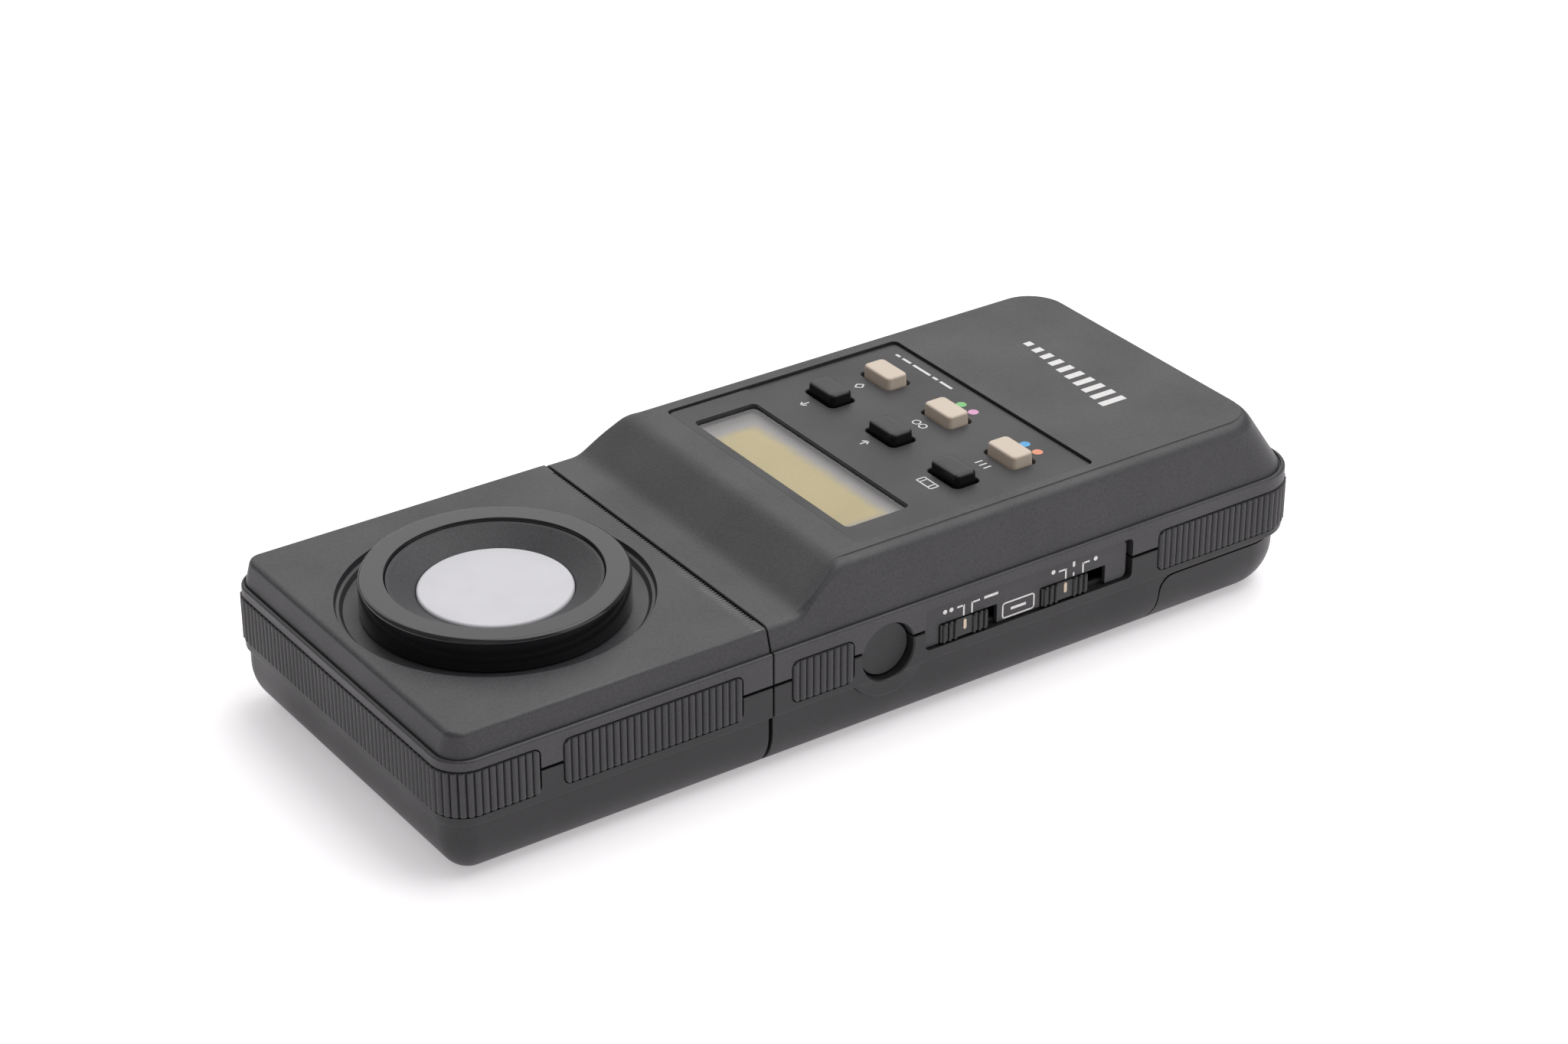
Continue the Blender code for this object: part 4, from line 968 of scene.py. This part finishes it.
def make_battery_door():
    door = skin("battery_door_cover", lambda y: rear_profile(belt=False), [BODY_SEAM], BASE)
    rows = lower_round(DOOR_WALL, 2.0, 8) + [(LEDGE + DOOR_WALL, BELT_LOW + 2)]
    cut(door, hollow("door_hollow", rows, BODY_SEAM + 5, BASE))
    keep(door, crossways("door_shape", door_curve(0.0)))
    grooves = []
    for i in range(6):
        y = THUMB_Y - THUMB_PITCH * i
        notch = rounded([(y - 0.45, -0.5, 0), (y + 0.45, -0.5, 0), (y + 0.2, 0.35, 0.1),
                         (y - 0.2, 0.35, 0.1)], 3)
        grooves.append(crossways(f"thumb_groove_{i}", notch, -9.0, 9.0))
    arrow = upright("door_arrow", [(-2.2, -74.0), (2.2, -74.0), (0.0, -77.6)], -0.5, 0.3)
    cut(door, arrow, *grooves)
    finish(door, "shell", "door", "shell", "battery_door")


# ---- receptor ----
def make_receptor():
    centre = (0, RING_Y, 0)
    bore = (DISH[1].x - DISH[0].x) / 2 + GAP
    skirt = RING_R - 2.0
    low = RING[0].z
    ledge = 11.5
    ring = turned("receptor_ring_cap", rounded([
        (RING_R, MOAT_FLOOR + GAP, 0.15), (RING_R, RING_TOP, 0.7), (bore + 0.25, RING_TOP, 0.15),
        (bore, RING_TOP - 0.9, 0), (bore, 25.2, 0), (ledge, 25.2, 0), (ledge, low, 0), (skirt, low, 0),
        (skirt, MOAT_FLOOR + GAP, 0)], 8), centre, segments=192)
    finish(ring, "gloss_ring", "head", "gloss_ring", "receptor_ring", angle=40)
    disc_r = (DISC[1].x - DISC[0].x) / 2
    rim, throat = bore - 0.02, disc_r + 0.1
    dish = turned("receptor_dish_cone", rounded([
        (rim, 25.5, 0), (rim, RING_TOP - 0.58, 0.02), (rim - 0.5, RING_TOP - 0.64, 0.3),
        (throat + 0.2, DISC[1].z - 0.35, 0.25), (throat, DISC[1].z - 0.6, 0.1), (throat, 25.5, 0)], 5),
        centre, segments=192)
    finish(dish, "matte_dish", "head", "matte_dish", "receptor_dish", angle=40)
    top = DISC[1].z
    disc = turned("diffuser_disc_opal", rounded([
        (0, 25.5, 0), (disc_r, 25.5, 0), (disc_r, top, 0.5), (disc_r - 2.5, top + 0.02, 2.0),
        (0, top + 0.03, 0)], 8), centre, segments=192)
    finish(disc, "opal_disc", "head", "opal_disc", "diffuser_disc", angle=60)


# ---- grips ----
def ribbed_path(length, place):
    """Points of a ribbed face along a path; place(s) gives (point, outward normal)."""
    ribs = round(length / RIB_PITCH)
    steps = ribs * 10
    points = []
    for i in range(steps + 1):
        s = length * i / steps
        bump = abs(math.sin(math.pi * ribs * s / length)) ** 0.55
        point, normal = place(s)
        points.append((point, normal, GRIP_PROUD - RIB_RELIEF * (1 - bump)))
    return points


def ribbed_solid(name, face, low, high):
    """The ribbed face, backed by a smooth one, with a small chamfer at its two long edges."""
    rings = []
    for z, pulled in ((low, 0.18), (low + 0.18, 0.0), (high - 0.18, 0.0), (high, 0.18)):
        outer = [(point + normal * (out - pulled)) for point, normal, out in face]
        inner = [(point - normal * GRIP_DEPTH) for point, normal, _out in reversed(face)]
        rings.append([(p.x, p.y, z) for p in outer + inner])
    return loft(name, rings)


def make_side_grip(node, body):
    low, high = mm_box(node)
    side = 1 if high.x > 0 else -1

    def place(s):
        return Vector((side * HALF_W, low.y + s)), Vector((side, 0))

    grip = ribbed_solid(f"{node}_ribbed", ribbed_path(high.y - low.y, place), low.z, high.z)
    keep(grip, side_window(f"{node}_outline", (low, high), -0.001))
    finish(grip, "grip", body, "grip", node, angle=50)


def make_wrap_grip(node, body, end):
    low, high = mm_box(node)
    side = 1 if end.y > 0 else -1
    corner = end.corner
    start = low.y if side > 0 else high.y
    straight = abs(end.y - start) - corner
    turn = corner * math.pi / 2
    across = 2 * (HALF_W - corner)

    def place(s):
        if s > straight + turn + across / 2:
            point, normal = place(2 * (straight + turn) + across - s)
            return Vector((-point.x, point.y)), Vector((-normal.x, normal.y))
        if s < straight:
            return Vector((HALF_W, start + side * s)), Vector((1, 0))
        if s < straight + turn:
            a = (s - straight) / corner
            normal = Vector((math.cos(a), side * math.sin(a)))
            return Vector((HALF_W - corner, end.y - side * corner)) + normal * corner, normal
        return Vector((HALF_W - corner - (s - straight - turn), end.y)), Vector((0, side))

    length = 2 * (straight + turn) + across
    grip = ribbed_solid(f"{node}_ribbed", ribbed_path(length, place), low.z, high.z)
    keep(grip, end_window(f"{node}_outline", (low, high), end, -0.001))
    finish(grip, "grip", body, "grip", node, angle=50)


def make_grips():
    for side in ("left", "right"):
        make_side_grip(f"head_side_grip_{side}", "head")
        make_side_grip(f"body_side_grip_{side}", "body")
    make_wrap_grip("head_end_grip", "head", HEAD)
    make_wrap_grip("base_end_grip", "body", BASE)


# ---- display and keys ----
KEY_NODES = ("key_step_up", "key_step_down", "key_film_index", "key_kelvin", "key_cc_index", "key_lb_index")
KEY_HALF = (3.9, 2.3)
KEY_ROOM = 0.42               # gap round a key in its opening
KEY_STEM = 1.5                # half the width of the stem under a key
KEY_FLANGE = 1.0              # how far its flange stands out round it
KEY_STEP_Y = -13.3            # the plate's key field starts here, a little lower than the display field
KEY_STEP = 0.2


def key_centre(node):
    low, high = mm_box(node)
    return (low.x + high.x) / 2, (low.y + high.y) / 2


def make_panel():
    """The display's plate: a rounded border, a lower key field, the window's frame and six key openings."""
    low, high = PANEL
    plate = stack("display_plate", [(z, plan_box(low, high, -pulled, 0.9)) for z, pulled in (
        (low.z, 0.0), (high.z - 0.2, 0.0), (high.z - 0.06, 0.06), (high.z, 0.2))])
    step = high.z - KEY_STEP
    field = [(low.y - 1, step), (KEY_STEP_Y - 0.1, step), (KEY_STEP_Y, high.z + 0.02),
             (KEY_STEP_Y, high.z + 1), (low.y - 1, high.z + 1)]
    cutters = [crossways("key_field", field)]
    for label, grow, z in (("opening", 0.12, low.z - 1), ("lip", 0.32, high.z - 0.2)):
        cutters.append(upright(f"window_{label}", plan_box(*WINDOW, grow, 0.7 + grow), z, high.z + 1))
    for node in KEY_NODES:
        centre = Vector(key_centre(node))
        reach = Vector(KEY_HALF) + Vector((KEY_ROOM, KEY_ROOM))
        corners = centre - reach, centre + reach
        cutters.append(upright(f"{node}_opening", plan_box(*corners, 0.0, 1.1), low.z - 1, high.z + 1))
        cutters.append(stack(f"{node}_rim", [(step - 0.14, plan_box(*corners, 0.0, 1.1)),
                                             (step + 0.06, plan_box(*corners, 0.2, 1.3))]))
    cut(plate, *cutters)
    finish(plate, "panel", "body", "panel", "display_bezel")


def make_display():
    """The clear window, and close under it the display cell, which reaches past the window's frame."""
    low, high = WINDOW
    window = stack("window_glass", [(z, plan_box(low, high, -pulled, 0.7)) for z, pulled in (
        (low.z, 0.0), (high.z - 0.12, 0.0), (high.z, 0.12))])
    finish(window, "window", "body", "window", "lcd_window")
    under = low.z - 0.1
    cell = stack("display_cell", [(z, plan_box(low, high, grow, 1.1)) for z, grow in (
        (GLASS[0].z, 0.8), (under - 0.1, 0.8), (under, 0.7))])
    finish(cell, "lcd", "body", "lcd", "lcd_panel")


def make_key(node, look):
    low, high = mm_box(node)
    centre = Vector(key_centre(node))
    flange_top = PANEL[0].z - GAP
    top = high.z
    half = Vector(KEY_HALF)
    stem = Vector((KEY_STEM, KEY_STEM))
    flange = half + Vector((KEY_FLANGE, KEY_FLANGE))
    profile = rounded([(0.0, flange_top, 0), (0.14, top - 0.05, 0.42), (1.0, top, 0.5), (3.0, top, 0)], 8,
                      closed=False)
    rows = [(low.z, stem, 0.5), (flange_top - 1.0, stem, 0.5),
            (flange_top - 1.0, flange, 0.9), (flange_top, flange, 0.9)]
    rows += [(z, half - Vector((inset, inset)), max(0.9 - 0.4 * inset, 0.3)) for inset, z in profile[:-1]]
    levels = [(z, plan_box(centre - reach, centre + reach, 0.0, radius)) for z, reach, radius in rows]
    finish(stack(f"{node}_cap", levels), look, node, look, node, angle=40)


def make_keys():
    for node in KEY_NODES[:3]:
        make_key(node, "dark_key")
    for node in KEY_NODES[3:]:
        make_key(node, "pale_key")


# ---- side controls ----
def make_button():
    face, back = -BUTTON[0].x, -BUTTON[1].x
    flange, flange_r, stem_r = HALF_W - WALL - GAP, BUTTON_R + BUTTON_FLANGE, 2.0
    dish = [(BUTTON_R * i / 8, face - 0.38 * (1 - (i / 8) ** 2)) for i in range(8)]
    profile = dish + rounded([(BUTTON_R - 0.2, face, 0), (BUTTON_R, face - 0.3, 0.1), (BUTTON_R, flange, 0),
                              (flange_r, flange, 0), (flange_r, flange - 0.9, 0),
                              (stem_r, flange - 0.9, 0), (stem_r, back, 0), (0, back, 0)], 4, closed=False)
    button = turned("measuring_button_cap", profile, (0, BUTTON_Y, BUTTON_Z), (-1, 0, 0))
    finish(button, "shell", "measuring_button", "shell", "measuring_button")


SLOTS = {"film": (-20.5, -8.4), "mode": (-43.6, -29.6)}
SLOT_TOP = 17.0


def make_switch_plate():
    low, high = PLATE
    outline = rounded([(low.y + 0.75, low.z, 1.1), (high.y, low.z, 0.4), (high.y, high.z, 0.4),
                       (low.y + 0.75, high.z, 1.1)], 8)
    plate = crossways("switch_plate_face", outline, low.x, high.x)
    for label, (start, end) in SLOTS.items():
        slot = rounded([(start, low.z - 1, 0), (end, low.z - 1, 0), (end, SLOT_TOP, 0.25),
                        (start, SLOT_TOP, 0.25)])
        cut(plate, crossways(f"{label}_slot", slot, low.x - 1, high.x + 1))
    finish(plate, "panel", "body", "panel", "switch_plate")


def make_slider(label):
    low, high = SLIDERS[label]
    face = low.x + 0.4
    back = PLATE[1].x
    middle = (low.y + high.y) / 2
    outline = [(back, high.y), (face + 0.1, high.y), (face, high.y - 0.1)]
    for side in (1, -1):    # three rounded ribs at each end of the thumb
        ribs = []
        for i in range(3):
            centre = middle + side * (4.25 - 1.15 * i)
            ribs += [(face - 0.4 * math.sin(math.pi * k / 6) ** 0.6, centre + side * (0.33 - 0.11 * k))
                     for k in range(7)]
        outline += ribs if side == 1 else list(reversed(ribs))
    outline += [(face, low.y + 0.1), (face + 0.1, low.y), (back, low.y)]
    rings = []
    for z, pulled in ((low.z, 0.12), (low.z + 0.12, 0.0), (high.z - 0.25, 0.0), (high.z, 0.25)):
        rings.append([(min(x + pulled, back), y, z) for x, y in outline])
    slider = loft(f"{label}_slider_thumb", rings)
    stem = block(f"{label}_stem", (back - 0.4, middle - 2, low.z + 1.1), (high.x, middle + 2, high.z - 0.3))
    add(slider, stem)
    body = f"{label}_slider"
    finish(slider, "slider", body, "slider", body)
    mark = rounded_box((middle - 0.3, low.z + 1.3), (middle + 0.3, high.z - 0.15), 0.28)
    marker = crossways(f"{label}_slider_index", mark, face - 0.12, face + 0.2)
    finish(marker, "pale_ink", body, "pale_key")


# ---- screws ----
def make_screws():
    """Self-tapping screws with a domed head, a cross recess and a pointed thread."""
    for group in POSTS:
        for index in range(1, 5):
            node = f"{group}_screw_{index}"
            low, high = mm_box(node)
            centre = ((low.x + high.x) / 2, (low.y + high.y) / 2, 0)
            radius = (high.x - low.x) / 2
            head_top = SCREW_SEAT_Z - GAP
            profile = [(0, low.z), (radius * 0.55, low.z + 0.12), (radius * 0.86, low.z + 0.4),
                       (radius, low.z + 0.85), (radius, head_top - 0.1), (radius - 0.1, head_top),
                       (1.0, head_top)]
            z = head_top + 1.0
            while z < high.z - 1.6:
                profile += [(0.98, z), (1.28, z + 0.3), (0.98, z + 0.6)]
                z += 0.9
            profile += [(0.98, high.z - 1.1), (0.0, high.z)]
            screw = turned(f"{node}_cross_head", profile, centre, segments=40)
            blades = []
            for turn, reach in enumerate(((1.6, 0.28), (0.28, 1.6))):
                start = (centre[0] - reach[0], centre[1] - reach[1], low.z - 1)
                end = (centre[0] + reach[0], centre[1] + reach[1], low.z + 1.0)
                blades.append(block(f"{node}_drive_{turn}", start, end))
            cut(screw, *blades)
            finish(screw, "screw_steel", group, "screw_steel", node)


# ---- printed marks ----
def bar(start, end, width):
    """A straight stroke as a four-cornered outline."""
    a, b = Vector(start), Vector(end)
    across = (b - a).orthogonal().normalized() * (width / 2)
    return [tuple(a + across), tuple(b + across), tuple(b - across), tuple(a - across)]


def ring_strokes(outline, width):
    """A closed line drawn as one stroke for each side."""
    return [bar(a, b, width) for a, b in zip(outline, outline[1:] + outline[:1])]


def disc(centre, radius, steps=32):
    return arc(centre, radius, 0, 360 - 360 / steps, steps - 1)


def print_marks(name, shapes, place, look):
    """Thin ink shapes that stand a hair above a surface; place(u, v, far) as in prism."""
    bm = bmesh.new()
    for shape in shapes:
        near = [bm.verts.new(place(u, v, 0)) for u, v in shape]
        far = [bm.verts.new(place(u, v, 1)) for u, v in shape]
        bm.faces.new(near)
        bm.faces.new(list(reversed(far)))
        for i in range(len(shape)):
            j = (i + 1) % len(shape)
            bm.faces.new((near[j], near[i], far[i], far[j]))
    finish(as_object(name, bm), look, "body", "panel")


def on_top(height):
    return lambda u, v, far: (u, v, height + (MARK_LIFT + MARK_THICK if far else MARK_LIFT))


def on_side(x):
    return lambda u, v, far: (x - (MARK_LIFT + MARK_THICK if far else MARK_LIFT), u, v)


def arrow_shapes(x, y, away):
    """A small arrow head on a short shaft, pointing along Y."""
    tip = y + 0.9 * away
    return [bar((x, y - 0.9 * away), (x, tip), 0.28),
            bar((x, tip), (x - 0.72, tip - 0.85 * away), 0.28),
            bar((x, tip), (x + 0.72, tip - 0.85 * away), 0.28)]


def make_marks():
    """Arrows, a small frame, a rhombus, two rings and three bars by the keys, with a broken line, four
    dots and a row of stepped bars.
    """
    key_level = PANEL[1].z - KEY_STEP
    shapes = arrow_shapes(18.0, -18.6, 1) + arrow_shapes(0.2, -18.6, -1)
    x, y = -17.7, -18.8
    shapes += ring_strokes([(x - 2.0, y - 0.85), (x + 2.0, y - 0.85), (x + 2.0, y + 0.85),
                            (x - 2.0, y + 0.85)], 0.26)
    shapes += [bar((x + side, y - 0.8), (x + side, y + 0.8), 0.24) for side in (-1.1, 1.1)]
    x, y = 18.2, -30.5
    shapes += ring_strokes([(x - 0.8, y), (x, y - 0.95), (x + 0.8, y), (x, y + 0.95)], 0.27)
    x = 0.3
    for offset in (-0.9, 0.9):
        shapes += ring_strokes(disc((x + offset, y), 0.72, 18), 0.25)
    x = -17.7
    shapes += [bar((x + side, y - 0.8), (x + side, y + 0.8), 0.3) for side in (-1.2, 0, 1.2)]
    for start, length in ((8.0, 3.4), (12.2, 1.4), (14.4, 5.0), (20.2, 2.4), (23.4, 1.2)):
        shapes.append(bar((start, -43.2), (start + length, -43.2), 0.55))
    print_marks("key_field_marks", shapes, on_top(key_level), "white_ink")
    for look, x in (("green_ink", 2.2), ("pink_ink", -1.3), ("blue_ink", -15.9), ("orange_ink", -19.4)):
        dot = [disc((x, -40.9), 0.95)]
        print_marks(f"index_dot_{look[:-4]}", dot, on_top(key_level), look)
    steps = [bar((13.7 - 2.9 * i, -65.6), (13.7 - 2.9 * i, -64.0 + 0.42 * i), 1.5) for i in range(10)]
    print_marks("stepped_bars", steps, on_top(BODY_TOP), "white_ink")
    make_side_marks()


def bracket(y, top, end):
    """A line up from a slider's slot that turns along the plate at its top."""
    return [bar((y, SLOT_TOP + 0.1), (y, top + BRACKET_LINE / 2), BRACKET_LINE),
            bar((y, top), (end, top), BRACKET_LINE)]


def make_side_marks():
    film_top, mode_top = 19.05, 18.95
    shapes = bracket(-13.5, film_top, -12.1) + bracket(-15.2, film_top, -16.8)
    shapes += bracket(-35.0, mode_top, -33.5)
    shapes.append(bar((-36.7, SLOT_TOP + 0.1), (-36.7, 17.8), BRACKET_LINE))
    shapes += bracket(-38.7, mode_top, -40.1)
    shapes += ring_strokes(rounded_box((-28.3, 13.75), (-21.7, 16.55), 0.5, 4), 0.28)
    shapes += [bar((-26.6, 15.15), (-23.4, 15.15), 0.5)]
    for y, z in ((-10.9, 19.0), (-9.6, 19.0), (-32.3, 19.2), (-41.4, 19.0)):
        shapes.append(disc((y, z), 0.42, 20))
    shapes += [bar((-17.7, 19.1), (-20.6, 19.1), 0.5), bar((-36.7, 18.9), (-36.7, 19.9), 0.5)]
    print_marks("switch_marks", shapes, on_side(PLATE[0].x), "white_ink")


# ---- carried-over nodes ----
def dress_inner_nodes():
    """The plain inner nodes keep their shape and get their slot's material."""
    for part in frame["record"]["subparts"]:
        obj = frame["nodes"][part["node"]]
        if obj.hide_render:
            continue
        obj.data.materials.clear()
        obj.data.materials.append(MATERIALS[part["material_slot"]])


# ---- studio (lights and camera in metres and watts) ----
FLOOR_SIZE = 2400.0           # mm
FLOOR_LEVEL = -0.05           # mm, a hair under the back that the meter lies on


def make_studio():
    """A pale floor that is clear from below, four softboxes and a pale sky."""
    floor = as_object("floor", plane(FLOOR_SIZE, FLOOR_LEVEL))
    g = Graph("pale_paper", roughness=0.9)
    fibre = g.noise(3.0, 4.0)
    g.use("Base Color", g.ramp(fibre, (0.3, (0.935, 0.915, 0.93)), (0.7, (0.95, 0.93, 0.945))))
    g.set("Emission Color", (1.0, 0.965, 0.99, 1.0))
    g.set("Emission Strength", 0.35)
    g.surface(g.backfacing(), g.shader.outputs[0], g.clear())
    floor.data.materials.append(g.material)
    softbox("softbox_top", (-0.1, -0.5, 1.3), 1.6, 1.1, 15.0)
    softbox("softbox_far", (1.30, -0.36, 0.98), 2.4, 1.1, 10.5)
    softbox("softbox_near", (-1.0, 1.2, 0.9), 1.1, 0.9, 1.1)
    softbox("softbox_side", (-1.1, -0.95, 0.5), 1.2, 0.8, 3.2)
    world = bpy.data.worlds.new("studio")
    world.use_nodes = True
    sky = world.node_tree.nodes["Background"]
    sky.inputs["Color"].default_value = (1.0, 0.99, 1.0, 1.0)
    sky.inputs["Strength"].default_value = 0.34
    bpy.context.scene.world = world
    bpy.context.scene.view_settings.view_transform = "Standard"


def plane(size, level):
    bm = bmesh.new()
    place = Matrix.Translation((0, 0, level))
    bmesh.ops.create_grid(bm, x_segments=1, y_segments=1, size=size / 2, matrix=place)
    return bm


def softbox(name, place, width, height, power):
    light = bpy.data.lights.new(name, "AREA")
    light.shape = "RECTANGLE"
    light.size = width
    light.size_y = height
    light.energy = power
    lamp = bpy.data.objects.new(name, light)
    lamp.location = place
    lamp.rotation_euler = (-Vector(place)).to_track_quat("-Z", "Y").to_euler()
    bpy.context.scene.collection.objects.link(lamp)


def make_camera():
    """From above the head's corner on the switch side, with a long lens."""
    data = bpy.data.cameras.new("camera")
    data.sensor_width = 36.0
    data.lens = 84.57
    data.clip_end = 20.0
    camera = bpy.data.objects.new("camera", data)
    yaw, pitch = math.radians(34.61), math.radians(28.88)
    camera.location = (-0.4522, 0.3103, 0.3254)
    ahead = Vector((math.cos(yaw) * math.cos(pitch), -math.sin(yaw) * math.cos(pitch), -math.sin(pitch)))
    camera.rotation_euler = ahead.to_track_quat("-Z", "Y").to_euler()
    bpy.context.scene.collection.objects.link(camera)
    bpy.context.scene.camera = camera


make_camera()
make_studio()
make_head_cover()
make_head_tray()
make_body_cover()
make_body_tray()
make_battery_door()
make_receptor()
make_grips()
make_panel()
make_display()
make_keys()
make_button()
make_switch_plate()
make_slider("film")
make_slider("mode")
make_screws()
make_marks()
dress_inner_nodes()
